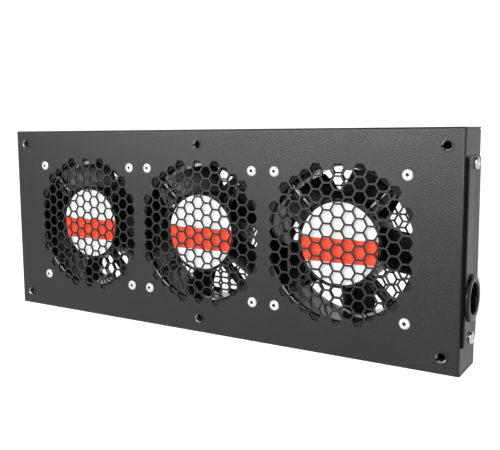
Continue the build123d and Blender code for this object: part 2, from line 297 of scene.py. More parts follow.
def copied(piece: bpy.types.Object, move: Sequence[float], turn: float = 0.0) -> bpy.types.Object:
    """Copies a piece with a mesh of its own.

    Args:
        piece: The object to copy.
        move: How far the copy lies from it, in millimetres.
        turn: An angle about the Y axis through the origin, in degrees, made before the move.

    Returns:
        The copy.
    """
    twin = piece.copy()
    twin.data = piece.data.copy()
    twin.data.transform(Matrix.Rotation(math.radians(turn), 4, "Y"))
    twin.data.transform(Matrix.Translation(Vector(move) * MM))
    bpy.context.scene.collection.objects.link(twin)
    return twin


def repeated(piece: bpy.types.Object, places: Sequence[Point], name: str) -> bpy.types.Object:
    """Copies a piece over the front face and joins the copies.

    Args:
        piece: The object to copy, which is used up.
        places: The X and Z of each copy, in millimetres.
        name: The name of the result.

    Returns:
        The joined copies.
    """
    copies = [copied(piece, (x, 0, z)) for x, z in places]
    bpy.data.objects.remove(piece)
    return joined(copies, name)


def weld(piece: bpy.types.Object) -> None:
    """Merges doubled vertices and turns every face outwards."""
    with editing(piece):
        bpy.ops.mesh.select_all(action="SELECT")
        bpy.ops.mesh.remove_doubles(threshold=MERGE_DISTANCE)
        bpy.ops.mesh.normals_make_consistent(inside=False)


def soften(piece: bpy.types.Object, width: float, segments: int = 2, angle: float = 35.0) -> None:
    """Rounds a piece's sharp edges and shades it smoothly between those that stay.

    Args:
        piece: The object.
        width: The width of the rounding, in millimetres.
        segments: How many strips make the rounding.
        angle: The sharpest angle left as it is, in degrees.
    """
    use_modifier(
        piece,
        "BEVEL",
        width=width * MM,
        segments=segments,
        limit_method="ANGLE",
        angle_limit=math.radians(angle),
        use_clamp_overlap=True,
    )
    shade(piece)


def shade(piece: bpy.types.Object, angle: float = 32.0) -> None:
    """Shades a piece smoothly, apart from edges sharper than an angle in degrees."""
    make_active(piece)
    bpy.ops.object.shade_smooth_by_angle(angle=math.radians(angle))


def shade_flats(piece: bpy.types.Object) -> None:
    """Keeps a long flat face from shading as if it were curved beside its rounded rim."""
    use_modifier(piece, "WEIGHTED_NORMAL", mode="FACE_AREA", weight=50, keep_sharp=True)


def stand_in(piece: bpy.types.Object, body: str, node: str) -> None:
    """Fixes a finished piece to its body, in place of a construction node.

    Args:
        piece: The finished piece.
        body: The body that it moves with.
        node: The construction node that it is seen in place of.
    """
    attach(piece, body)
    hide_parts(node)
    log.info("%s: %d faces", piece.name, len(piece.data.polygons))


# Starting shapes


def box_shape(name: str, low: Sequence[float], high: Sequence[float]) -> bpy.types.Object:
    """Adds a box between two corners.

    Args:
        name: The object's name.
        low: The lowest corner, in millimetres.
        high: The highest corner, in millimetres.

    Returns:
        The box.
    """
    deselect_all()
    size = [(b - a) * MM for a, b in zip(low, high)]
    middle = [(a + b) / 2 * MM for a, b in zip(low, high)]
    bpy.ops.mesh.primitive_cube_add(size=1.0, location=middle)
    return named(name, size)


def lathe(
    name: str,
    profile: Profile,
    centre: Sequence[float] = (0.0, 0.0, 0.0),
    axis: Axis = Axis.Y,
    steps: int = 64,
) -> bpy.types.Object:
    """Turns a profile about an axis into a closed round piece.

    Args:
        name: The object's name.
        profile: Points of radius and place along the axis, in millimetres. It ends where it
            starts, or both its ends lie on the axis.
        centre: A point on the axis, in millimetres.
        axis: The direction of the axis.
        steps: How many strips go round.

    Returns:
        The round piece.
    """
    along = Vector(axis.value)
    out = Vector((0, 0, 1)) if axis is Axis.X else Vector((1, 0, 0))
    points = [(Vector(centre) + out * radius + along * place) * MM for radius, place in profile]
    deselect_all()
    bpy.ops.mesh.primitive_plane_add(size=MM, location=points[0])
    piece = named(name)
    with editing(piece, Pick.VERTICES):
        bpy.ops.mesh.select_all(action="SELECT")
        bpy.ops.mesh.merge(type="CENTER")
        for start, end in zip(points, points[1:]):
            bpy.ops.mesh.extrude_region_move(TRANSFORM_OT_translate={"value": end - start})
        bpy.ops.mesh.select_all(action="SELECT")
        bpy.ops.mesh.spin(
            steps=steps,
            dupli=False,
            angle=2 * math.pi,
            center=Vector(centre) * MM,
            axis=along,
        )
    weld(piece)
    return piece


def loop_shape(name: str, radius: float, place: Point = (0.0, 0.0), steps: int = 32) -> bpy.types.Object:
    """Adds an open ring of edges in the plane of the front face.

    Args:
        name: The object's name.
        radius: The ring's radius, in millimetres.
        place: Its centre's X and Z, in millimetres.
        steps: How many edges go round.

    Returns:
        The ring.
    """
    deselect_all()
    bpy.ops.mesh.primitive_circle_add(
        vertices=steps,
        radius=radius * MM,
        fill_type="NOTHING",
        location=(place[0] * MM, 0, place[1] * MM),
        rotation=(math.pi / 2, 0, 0),
    )
    return named(name)


def outline_shape(name: str, size: Point, corner: float = 0.0) -> bpy.types.Object:
    """Adds an open rectangle of edges in the plane of the front face, round the origin.

    Args:
        name: The object's name.
        size: Its length along X and height along Z, in millimetres.
        corner: The radius of its corners, in millimetres.

    Returns:
        The rectangle.
    """
    deselect_all()
    bpy.ops.mesh.primitive_plane_add(size=1.0, rotation=(math.pi / 2, 0, 0))
    piece = named(name, (size[0] * MM, size[1] * MM, 1))
    with editing(piece, Pick.VERTICES):
        bpy.ops.mesh.select_all(action="SELECT")
        if corner:
            bpy.ops.mesh.bevel(offset=corner * MM, segments=6, affect="VERTICES")
        bpy.ops.mesh.select_all(action="SELECT")
        bpy.ops.mesh.delete(type="ONLY_FACE")
    return piece


def plate_shape(name: str, loops: Sequence[bpy.types.Object], front: float = 0.0) -> bpy.types.Object:
    """Fills nested rings of edges as one flat sheet with its holes open.

    Args:
        name: The object's name.
        loops: The outline and the holes, or flat patches whose outlines are holes.
        front: The place of the sheet along Y, in millimetres.

    Returns:
        The sheet, with no thickness yet.
    """
    plate = joined(loops, name)
    with editing(plate, Pick.EDGES):
        bpy.ops.mesh.select_all(action="DESELECT")
        bpy.ops.mesh.select_non_manifold()
        bpy.ops.mesh.fill(use_beauty=True)
    plate.data.transform(Matrix.Translation((0, front * MM, 0)))
    return plate


def thicken(plate: bpy.types.Object, thickness: float) -> None:
    """Gives a flat plate its thickness along Y, in millimetres, with walls round every hole."""
    with editing(plate):
        bpy.ops.mesh.select_all(action="SELECT")
        bpy.ops.mesh.extrude_region_move(TRANSFORM_OT_translate={"value": (0, thickness * MM, 0)})
    weld(plate)


# Finishes


def linear(hex_colour: str) -> tuple[float, float, float, float]:
    """Turns an sRGB hex colour to the linear values that a shader takes.

    Args:
        hex_colour: Six hex digits after a hash.

    Returns:
        Linear red, green, blue and an alpha of 1.
    """
    parts = [int(hex_colour[i : i + 2], 16) / 255 for i in (1, 3, 5)]
    red, green, blue = (p / 12.92 if p <= 0.04045 else ((p + 0.055) / 1.055) ** 2.4 for p in parts)
    return red, green, blue, 1.0


def add_node(
    tree: bpy.types.NodeTree,
    kind: str,
    inputs: dict[str | int, object] | None = None,
    **settings: object,
) -> bpy.types.Node:
    """Adds a shader node with its settings, values and links.

    Args:
        tree: The material's or the world's node tree.
        kind: The node's type.
        inputs: Values for its sockets, or outputs of other nodes to link to them.
        **settings: Its properties.

    Returns:
        The node.
    """
    node = tree.nodes.new(kind)
    for key, value in settings.items():
        setattr(node, key, value)
    for key, value in (inputs or {}).items():
        if isinstance(value, bpy.types.NodeSocket):
            tree.links.new(value, node.inputs[key])
        else:
            node.inputs[key].default_value = value
    return node


class Texture(Enum):
    """Patterns that a finish can carry."""

    GRAIN = "grain"
    LAMINATIONS = "laminations"
    TURNS = "turns"


@dataclass(frozen=True)
class Finish:
    """A real material and how its surface was made.

    Attributes:
        name: The material's name.
        colour: Its colour, as sRGB hex.
        variation: A second colour that it drifts towards in patches, as sRGB hex.
        metallic: 1 for bare metal, 0 for paint, plastic or rubber.
        roughness: How rough its gloss is.
        roughness_drift: How far the roughness strays either way.
        grain: The size of its surface's bumps, in millimetres.
        relief: The height of those bumps, in millimetres.
        patch: The size of its patches of colour and roughness, in millimetres.
        texture: The pattern of its bumps.
        coat: The weight of a clear coat.
        coat_roughness: How rough the clear coat's gloss is.
        specular: The specular level.
    """

    name: str
    colour: str
    variation: str
    metallic: float = 0.0
    roughness: float = 0.5
    roughness_drift: float = 0.04
    grain: float = 1.0
    relief: float = 0.02
    patch: float = 25.0
    texture: Texture = Texture.GRAIN
    coat: float = 0.0
    coat_roughness: float = 0.1
    specular: float = 0.5

    def material(self) -> bpy.types.Material:
        """Makes the material, or gives the one made before.

        Returns:
            The material.
        """
        found = bpy.data.materials.get(self.name)
        if found:
            return found
        material = bpy.data.materials.new(self.name)
        material.use_nodes = True
        tree = material.node_tree
        tree.nodes.clear()
        place = add_node(tree, "ShaderNodeTexCoord").outputs["Object"]
        patches = add_node(
            tree,
            "ShaderNodeTexNoise",
            {"Vector": place, "Scale": 1 / (self.patch * MM), "Detail": 3.0, "Roughness": 0.6},
        ).outputs["Fac"]
        colour = add_node(
            tree,
            "ShaderNodeMix",
            {"Factor": patches, "A": linear(self.colour), "B": linear(self.variation)},
            data_type="RGBA",
        ).outputs["Result"]
        roughness = add_node(
            tree,
            "ShaderNodeMapRange",
            {
                "Value": patches,
                "From Min": 0.3,
                "From Max": 0.7,
                "To Min": self.roughness - self.roughness_drift,
                "To Max": self.roughness + self.roughness_drift,
            },
        ).outputs["Result"]
        bump = add_node(
            tree,
            "ShaderNodeBump",
            {"Height": self.height(tree, place), "Distance": self.relief * MM, "Strength": 1.0},
        ).outputs["Normal"]
        shader = add_node(
            tree,
            "ShaderNodeBsdfPrincipled",
            {
                "Base Color": colour,
                "Metallic": self.metallic,
                "Roughness": roughness,
                "Normal": bump,
                "Coat Weight": self.coat,
                "Coat Roughness": self.coat_roughness,
                "Specular IOR Level": self.specular,
            },
        )
        add_node(tree, "ShaderNodeOutputMaterial", {"Surface": shader.outputs["BSDF"]})
        return material

    def height(self, tree: bpy.types.NodeTree, place: bpy.types.NodeSocket) -> bpy.types.NodeSocket:
        """Adds the nodes of the surface's relief.

        Args:
            tree: The material's node tree.
            place: The object coordinates.

        Returns:
            The relief, from 0 to 1.
        """
        if self.texture is Texture.GRAIN:
            return add_node(
                tree,
                "ShaderNodeTexNoise",
                {"Vector": place, "Scale": 1 / (self.grain * MM), "Detail": 2.0, "Roughness": 0.5},
            ).outputs["Fac"]
        # One wave of this texture is pi / 10 of a unit long at a scale of 1
        scale = math.pi / 10 / (self.grain * MM)
        return add_node(
            tree,
            "ShaderNodeTexWave",
            {"Vector": place, "Scale": scale, "Distortion": 0.0},
            wave_type="BANDS" if self.texture is Texture.LAMINATIONS else "RINGS",
            bands_direction="Y",
            rings_direction="Y",
        ).outputs["Fac"]

    def dress(self, piece: bpy.types.Object) -> None:
        """Gives a piece this finish alone."""
        piece.data.materials.clear()
        piece.data.materials.append(self.material())

    def dress_faces(self, piece: bpy.types.Object, test: FaceTest) -> None:
        """Gives the faces that pass a test this finish, over the one that the piece has.

        Args:
            piece: The object.
            test: Takes a face.
        """
        slot = len(piece.data.materials)
        piece.data.materials.append(self.material())
        for face in piece.data.polygons:
            if test(face):
                face.material_index = slot


# Polyester powder coat, baked on folded steel: a fine orange peel breaks up its soft gloss.
# The real peel is about 0.4 mm across. It is drawn at 0.8 mm, and deeper than it is, so that it
# shows at this distance.
POWDER_COAT = Finish(
    "baked_black_powder_coat", "#0d0d0e", "#111112", roughness=0.4, grain=0.8, relief=0.2, patch=60.0
)
# Die-cast aluminium under black stove enamel: smooth, with the faint unevenness of the mould
CAST_ENAMEL = Finish(
    "black_enamelled_die_casting",
    "#060607",
    "#0a0a0b",
    roughness=0.14,
    grain=1.6,
    relief=0.006,
    specular=0.44,
)
# Glass-filled polyamide, injection moulded: deep black, with a soft gloss
WHEEL_PLASTIC = Finish(
    "moulded_black_polyamide", "#080809", "#0c0c0d", roughness=0.3, grain=9.0, relief=0.02, specular=0.2
)
# Blind rivets of drawn aluminium: bright, with fine drawing marks
RIVET_ALUMINIUM = Finish(
    "drawn_aluminium",
    "#f0f0f1",
    "#e2e2e4",
    metallic=1.0,
    roughness=0.42,
    grain=0.3,
    relief=0.004,
    patch=2.0,
)
# Dark steel on the rivets' broken pins and on the hole walls above them: partly the pins' own steel, partly
# painted shade in the holes
PIN_STEEL_AND_SHADE = Finish(
    "pin_steel_and_painted_shade", "#3a3a3c", "#1e1e1f", metallic=0.7, roughness=0.5, grain=0.3, patch=1.0
)
# Bright zinc on turned steel: mirror-like, faintly mottled
ZINC = Finish(
    "bright_zinc_plating",
    "#dadadb",
    "#c8c8c8",
    metallic=1.0,
    roughness=0.24,
    grain=0.4,
    relief=0.003,
    patch=2.5,
)
# Zinc of the inserts, darkened nearly to black: painted shade deep in the holes, over the threads and walls
SHADE_DARKENED_ZINC = Finish(
    "zinc_darkened_as_painted_shade", "#2c2c2a", "#1f1f1e", metallic=0.9, roughness=0.4, grain=0.4, relief=0.004
)
# Zinc of the inserts' lead-ins, greyer than the bright zinc: painted shade at the mouth of each hole, which
# leaves it bright only where it mirrors
GREYED_MOUTH_ZINC = Finish(
    "zinc_greyed_as_painted_shade", "#929291", "#80807f", metallic=1.0, roughness=0.2, grain=0.4, relief=0.003
)
# Black-oxide steel of the small screws: dark grey, faintly metallic
BLACK_OXIDE = Finish(
    "black_oxide_steel", "#1d1d1f", "#2a2a2c", metallic=0.5, roughness=0.38, grain=0.5, relief=0.008
)
# Chloroprene rubber, compression moulded: black and smooth, with a low gloss
GROMMET_RUBBER = Finish(
    "moulded_chloroprene", "#09090a", "#0e0e0f", roughness=0.3, grain=2.0, relief=0.01, specular=0.3
)
# Painted shade on the end plate's front edge: a flat black that stands in for the shadow in the gap beside
# the wall, a black line with no gloss
PAINTED_SHADE_EDGE = Finish(
    "painted_shade_edge_black", "#050505", "#080808", roughness=0.85, grain=0.6, specular=0.1
)
# Screen-printed polyester film on the motor bases: flat colours with a slight sheen
LABEL_WHITE = Finish("white_polyester_film", "#f4f4f3", "#ededec", roughness=0.34, grain=3.0, relief=0.01)
LABEL_RED = Finish("red_printed_film", "#f5461f", "#ea3f1c", roughness=0.36, grain=3.0, relief=0.01)
# Ground and polished bearing steel: nearly a mirror
BEARING_STEEL = Finish(
    "ground_bearing_steel", "#c4c4c6", "#b8b8bb", metallic=1.0, roughness=0.16, grain=0.2, relief=0.002
)
# Stacked electrical steel: fine lines where it is seen on edge
MOTOR_STEEL = Finish(
    "stacked_laminations",
    "#6d6d70",
    "#5c5c60",
    metallic=1.0,
    roughness=0.42,
    grain=0.5,
    relief=0.05,
    texture=Texture.LAMINATIONS,
)
# Enamelled copper wire, wound in turns 0.6 mm apart: ribbed, with a clear gloss
WINDING_COPPER = Finish(
    "enamelled_copper_wire",
    "#b8602f",
    "#9a4c22",
    metallic=0.85,
    roughness=0.3,
    grain=0.6,
    relief=0.15,
    texture=Texture.TURNS,
    coat=0.4,
)
# Extruded and moulded PVC of the leads, sleeves and plugs: dark grey and satin
WIRING_PLASTIC = Finish("black_moulded_pvc", "#151516", "#1d1d1e", roughness=0.42, grain=1.5, relief=0.01)
# Natural polyamide of the terminal block and lead clips: cream, with a soft gloss
TERMINAL_PLASTIC = Finish("natural_polyamide", "#ddd7c4", "#d2cbb5", roughness=0.4, grain=2.0, relief=0.01)
# Wool felt on the studio's cards: black from every side
BLACK_FELT = Finish(
    "black_wool_felt", "#060606", "#090909", roughness=0.95, grain=2.0, relief=0.3, specular=0.1
)


# The sheet-metal pieces


@dataclass(frozen=True)
class Honeycomb:
    """The punched patches in front of and behind the fans.

    Attributes:
        pitch: From one cell's centre to the next.
        across_flats: The width of a cell.
        radius: How far from a patch's centre a cell's centre may lie.
    """

    pitch: float = 10.05
    across_flats: float = 8.7
    radius: float = 60.0

    def centres(self) -> list[Point]:
        """Works out the cells of one patch.

        Returns:
            The X and Z of each cell, about the patch's centre.
        """
        column_pitch = self.pitch * math.sqrt(3) / 2
        reach = int(self.radius / (self.pitch / 2)) + 1
        steps = range(-reach, reach + 1)
        places = [(i * column_pitch, j * self.pitch / 2) for i in steps for j in steps if (i + j) % 2]
        return [(x, z) for x, z in places if math.hypot(x, z) <= self.radius]

    def cell(self) -> bpy.types.Object:
        """Models one cell: a hexagon inset by half a web.

        Returns:
            The cell, its hole still filled by one face.
        """
        deselect_all()
        bpy.ops.mesh.primitive_circle_add(
            vertices=6,
            radius=self.pitch / math.sqrt(3) * MM,
            fill_type="NGON",
            rotation=(math.pi / 2, math.pi / 6, 0),
        )
        cell = named("cell")
        with editing(cell):
            bpy.ops.mesh.select_all(action="SELECT")
            bpy.ops.mesh.inset(thickness=(self.pitch - self.across_flats) / 2 * MM)
        return cell

    def patches(self) -> bpy.types.Object:
        """Copies the cell over the patch of every fan.

        Returns:
            The patches, their holes still filled.
        """
        places = [(fan + x, z) for fan in FAN_X.values() for x, z in self.centres()]
        web = repeated(self.cell(), places, "web")
        weld(web)
        return web


@dataclass
class FoldedSheet(ABC):
    """A sheet folded to a pan, with a honeycomb in front of each fan.

    Attributes:
        name: The piece's name.
        node: The construction node that it stands for.
        face: The depth of its outer face along Y.
        inward: 1 where the pan opens to the rear, -1 where it opens to the front.
        length: Its size along X.
        height: Its size along Z.
        wall_depth: The depth of its long walls.
        thickness: The sheet's thickness.
        bend: The outer radius of its bends.
        rim: The width of the rounding that the coat gives the rim of each hole.
        rivet_radius: The radius of a rivet hole.
        rivet_places: The X and Z of each rivet hole.
        insert_radius: The radius of an insert's hole.
        insert_places: The X and Z of each insert's hole.
        honeycomb: The cells of its patches.
    """

    name: str
    node: str
    face: float
    inward: int
    length: float
    height: float
    wall_depth: float
    thickness: float = SHEET
    bend: float = 2.0
    rim: float = 0.08
    rivet_radius: float = 2.15
    rivet_places: Sequence[Point] = ()
    insert_radius: float = 4.5
    insert_places: Sequence[Point] = ()
    honeycomb: Honeycomb = Honeycomb()

    @abstractmethod
    def cutters(self) -> list[bpy.types.Object]:
        """Gives the shapes that are cut out of the folded walls."""

    def shell(self) -> bpy.types.Object:
        """Folds the walls: a box with one open side, its front edges bent round.

        Returns:
            The walls and bends, open where the flat panel goes.
        """
        low, high = sorted((self.face, self.face + self.inward * self.wall_depth))
        half_length, half_height = self.length / 2, self.height / 2
        shell = box_shape("walls", (-half_length, low, -half_height), (half_length, high, half_height))
        delete_faces(shell, lambda face: face.normal.y * self.inward > SQUARE)
        pick_edges(shell, lambda place: abs(place.y / MM - self.face) < NEAR)
        bevel_picks(shell, self.bend, 6)
        use_modifier(shell, "SOLIDIFY", thickness=self.thickness * MM, offset=-1.0, use_even_offset=True)
        cut(shell, self.cutters())
        half_panel = self.length * self.height * MM * MM / 2
        delete_faces(shell, lambda face: abs(face.normal.y) > SQUARE and face.area > half_panel)
        return shell

    def panel(self) -> bpy.types.Object:
        """Punches the flat panel: honeycombs, rivet holes and insert holes in one plate.

        Returns:
            The panel, with its hole walls but no wall round its outline.
        """
        half_length, half_height = self.length / 2 - self.bend, self.height / 2 - self.bend
        loops = [self.honeycomb.patches(), outline_shape("outline", (2 * half_length, 2 * half_height))]
        loops += [loop_shape("hole", self.rivet_radius, place, 24) for place in self.rivet_places]
        loops += [loop_shape("hole", self.insert_radius, place, 40) for place in self.insert_places]
        panel = plate_shape("panel", loops, self.face)
        with editing(panel):
            bpy.ops.mesh.select_face_by_sides(number=6, type="EQUAL", extend=False)
            bpy.ops.mesh.delete(type="FACE")
        thicken(panel, self.inward * self.thickness)
        delete_faces(
            panel,
            lambda face: abs(abs(face.center.x / MM) - half_length) < NEAR
            or abs(abs(face.center.z / MM) - half_height) < NEAR,
        )
        return panel

    def build(self) -> None:
        """Models the folded sheet, rounds the coat over its holes' outer rims and dresses it."""
        panel = self.panel()
        pick_rims(panel, lambda place: abs(place.y / MM - self.face) < NEAR)
        bevel_picks(panel, self.rim, 2)
        sheet = joined([self.shell(), panel], self.name)
        weld(sheet)
        shade(sheet)
        shade_flats(sheet)
        POWDER_COAT.dress(sheet)
        stand_in(sheet, "tray", self.node)


@dataclass
class FrontTray(FoldedSheet):
    """The tray itself, whose walls have corner grooves, the cable hole and countersinks.

    Attributes:
        groove_width: The width of the groove near each corner of the end walls.
        groove_depth: Its depth.
        screw_gap: The room between a cover screw and its countersink.
        corner: The radius of the panel's ground corners.
        corner_gap: How far the grinding stops short of the bends' rear edge.
    """

    name: str = "tray_sheet"
    node: str = "front_tray"
    face: float = 0.0
    inward: int = 1
    length: float = TRAY_LENGTH
    height: float = TRAY_HEIGHT
    wall_depth: float = 39.0
    rivet_places: Sequence[Point] = RIVET_PLACES
    insert_places: Sequence[Point] = INSERT_PLACES
    groove_width: float = 0.4
    groove_depth: float = 0.7
    screw_gap: float = 0.12
    corner: float = 2.5
    corner_gap: float = 0.02

    def cutters(self) -> list[bpy.types.Object]:
        """Gives the grooves, the corners' rounding, the countersinks and the cable hole.

        Returns:
            The shapes to cut out of the walls.
        """
        half_length = self.length / 2
        outside = self.height / 2 - self.thickness
        tools = []
        for side in (-1, 1):
            for end in (-1, 1):
                x = sorted((end * (half_length - self.groove_depth), end * (half_length + SPARE)))
                z = sorted((side * outside, side * (outside - self.groove_width)))
                high = (x[1], self.wall_depth + SPARE, z[1])
                tools.append(box_shape("groove", (x[0], self.bend, z[0]), high))
                tools.append(self.corner_relief(end, side))
            tools += [self.countersink(x, side) for x in COVER_SCREW_X]
        half_hole = 3 * SPARE
        profile = (
            (0, -half_hole),
            (CABLE_HOLE_RADIUS, -half_hole),
            (CABLE_HOLE_RADIUS, half_hole),
            (0, half_hole),
        )
        centre = (half_length, CABLE_HOLE_Y, CABLE_HOLE_Z)
        tools.append(lathe("cable_hole", profile, centre, Axis.X, steps=80))
        return tools

    def corner_relief(self, end: int, side: int) -> bpy.types.Object:
        """Models what is ground off a corner where two bends meet the panel.

        Args:
            end: 1 for the right end, -1 for the left end.
            side: 1 for the top, -1 for the bottom.

        Returns:
            The corner outside a round arc, as deep as the bends.
        """
        x, z = end * self.length / 2, side * self.height / 2
        xs = sorted((x - end * self.corner, x + end * SPARE))
        zs = sorted((z - side * self.corner, z + side * SPARE))
        low, high = (xs[0], -SPARE, zs[0]), (xs[1], self.bend - self.corner_gap, zs[1])
        corner = box_shape("corner", low, high)
        front, rear = -2 * SPARE, self.bend + SPARE
        profile = ((0, front), (self.corner, front), (self.corner, rear), (0, rear))
        centre = (x - end * self.corner, 0, z - side * self.corner)
        cut(corner, [lathe("arc", profile, centre, steps=48)])
        return corner

    def countersink(self, x: float, side: int) -> bpy.types.Object:
        """Models the shape of one countersunk hole.

        Args:
            x: Its place along the tray.
            side: 1 for the top wall, -1 for the bottom wall.

        Returns:
            The shape, a little larger than the screw's head.
        """
        narrow = COVER_SCREW_RADIUS + self.screw_gap
        wide = narrow + self.thickness
        spare = SPARE / 2
        profile = (
            (0, side * spare),
            (wide + spare, side * spare),
            (narrow, -side * self.thickness),
            (narrow, -side * (self.thickness + spare)),
            (0, -side * (self.thickness + spare)),
        )
        centre = (x, COVER_SCREW_Y, side * self.height / 2)
        return lathe("countersink", profile, centre, Axis.Z, steps=32)


@dataclass
class RearCover(FoldedSheet):
    """The cover that closes the tray, with shorter lips at its ends."""

    name: str = "cover_sheet"
    node: str = "rear_cover"
    face: float = 41.6
    inward: int = -1
    length: float = 429.0
    height: float = 167.6
    wall_depth: float = 17.6
    lip_depth: float = 6.6

    def cutters(self) -> list[bpy.types.Object]:
        """Gives what is cut off the end walls to leave short lips.

        Returns:
            The shapes to cut out of the walls.
        """
        front, lip_front = self.face - self.wall_depth - SPARE, self.face - self.lip_depth
        inside = self.height / 2 - self.thickness
        tools = []
        for end in (-1, 1):
            near = self.length / 2 - self.thickness - SPARE / 2
            x = sorted((end * near, end * (self.length / 2 + SPARE)))
            tools.append(box_shape("lip", (x[0], front, -inside), (x[1], lip_front, inside)))
        return tools


@dataclass
class EndPlate:
    """The plate over the right end wall, its pan-head screws and the cable grommet.

    Attributes:
        face: The X of the wall's outside, which the plate lies on.
        painted: The least part of a face's normal to the front that puts it in the painted shade of the
            front edge.
        crown: How far in from the head's edge its rounding passes, at which parts of its height.
        grommet_fit: How far the grommet's groove stays inside the metal that it holds.
        bore_round: The grommet's inner edge, as points out from the bore and down from its crown.
        rim_round: Its outer edge, as points in from its outside and down from its crown.
    """

    face: float = TRAY_LENGTH / 2
    thickness: float = 2.4
    height: float = 131.0
    front: float = 1.0
    rear: float = 34.0
    corner: float = 3.0
    edge: float = 2.1
    painted: float = 0.72
    screw_z: float = 60.5
    screw_hole: float = 2.1
    shank_radius: float = 2.0
    shank_length: float = 8.0
    head_radius: float = 4.2
    head_height: float = 2.5
    crown: Profile = ((0.0, 0.45), (0.5, 0.8), (1.6, 1.0))
    recess_width: float = 1.1
    recess_length: float = 4.6
    recess_depth: float = 1.2
    bore_radius: float = 11.25
    outer_radius: float = 16.5
    inner_radius: float = 15.5
    proud: float = 2.4
    inner_lip: float = 2.8
    grommet_fit: float = 0.02
    bore_round: Profile = ((0.0, 1.1), (0.35, 0.35), (1.1, 0.0))
    rim_round: Profile = ((1.6, 0.0), (0.45, 0.45), (0.0, 1.5))

    @property
    def middle(self) -> float:
        """The plate's centre along Y."""
        return (self.front + self.rear) / 2

    def plate(self) -> bpy.types.Object:
        """Models the plate: a rounded outline filled round its three holes.

        Returns:
            The plate.
        """
        loops = [
            outline_shape("outline", (self.rear - self.front, self.height), self.corner),
            loop_shape("hole", CABLE_HOLE_RADIUS, (CABLE_HOLE_Y - self.middle, CABLE_HOLE_Z), 80),
            loop_shape("hole", self.screw_hole, (0, self.screw_z)),
            loop_shape("hole", self.screw_hole, (0, -self.screw_z)),
        ]
        plate = plate_shape("cable_plate", loops)
        thicken(plate, self.thickness)
        self.round_outline(plate)
        soften(plate, 0.15)
        turn = Matrix.Rotation(math.pi / 2, 4, "Z")
        place = Matrix.Translation(Vector((self.face + self.thickness, self.middle, 0)) * MM)
        plate.data.transform(place @ turn)
        POWDER_COAT.dress(plate)
        # The faces of the front edge get a flat black: painted shade for the shadow in the gap beside the
        # wall.
        PAINTED_SHADE_EDGE.dress_faces(plate, lambda face: face.normal.y < -self.painted)
        return plate

    def round_outline(self, plate: bpy.types.Object) -> None:
        """Rounds the plate's outline where it faces outwards.

        Args:
            plate: The plate, its outer face still towards the front.
        """
        inset = self.corner + NEAR
        half_width = (self.rear - self.front) / 2 - inset
        half_height = self.height / 2 - inset
        pick_rims(
            plate,
            lambda place: place.y / MM < NEAR
            and (abs(place.x / MM) > half_width or abs(place.z / MM) > half_height),
        )
        bevel_picks(plate, self.edge, 6)

    def screws(self) -> bpy.types.Object:
        """Models the two pan-head screws, with a cross recess in each.

        Returns:
            Both screws as one piece.
        """
        top = self.head_height
        profile = (
            (0, -self.shank_length),
            (self.shank_radius, -self.shank_length),
            (self.shank_radius, 0),
            (self.head_radius, 0),
            *((self.head_radius - inset, top * part) for inset, part in self.crown),
            (0, top),
        )
        outside = self.face + self.thickness
        screw = lathe("screw", profile, (outside, self.middle, self.screw_z), Axis.X, steps=48)
        length, width = self.recess_length / 2, self.recess_width / 2
        bottom, above = outside + top - self.recess_depth, outside + top + SPARE
        for along, across in ((length, width), (width, length)):
            low = (bottom, self.middle - along, self.screw_z - across)
            high = (above, self.middle + along, self.screw_z + across)
            cut(screw, [box_shape("recess", low, high)])
        soften(screw, 0.12, angle=40.0)
        lower = copied(screw, (0, 0, -2 * self.screw_z))
        screws = joined([screw, lower], "plate_screw_pair")
        ZINC.dress(screws)
        return screws

    def grommet(self) -> bpy.types.Object:
        """Models the grommet: a turned ring with its groove round the plate and the wall.

        Returns:
            The grommet.
        """
        outside, inside = self.thickness + self.grommet_fit, -SHEET - self.grommet_fit
        crown, foot = self.thickness + self.proud, -SHEET - self.inner_lip
        groove = CABLE_HOLE_RADIUS - self.grommet_fit
        profile = (
            (self.bore_radius, foot),
            *((self.bore_radius + out, crown - down) for out, down in self.bore_round),
            *((self.outer_radius - inset, crown - down) for inset, down in self.rim_round),
            (self.outer_radius, outside),
            (groove, outside),
            (groove, inside),
            (self.inner_radius, inside),
            (CABLE_HOLE_RADIUS, foot),
            (self.bore_radius, foot),
        )
        centre = (self.face, CABLE_HOLE_Y, CABLE_HOLE_Z)
        grommet = lathe("cable_grommet", profile, centre, Axis.X, steps=96)
        soften(grommet, 0.5, segments=3, angle=25.0)
        GROMMET_RUBBER.dress(grommet)
        return grommet

    def build(self) -> None:
        """Models the plate, its screws and the grommet, and fixes them to the tray."""
        for piece, node, slot in (
            (self.plate(), "end_plate", "powder_coated_steel"),
            (self.screws(), "end_plate_screws", "zinc_plated_steel"),
            (self.grommet(), "grommet", "grommet_rubber"),
        ):
            stand_in(piece, "tray", node)


# The small fasteners


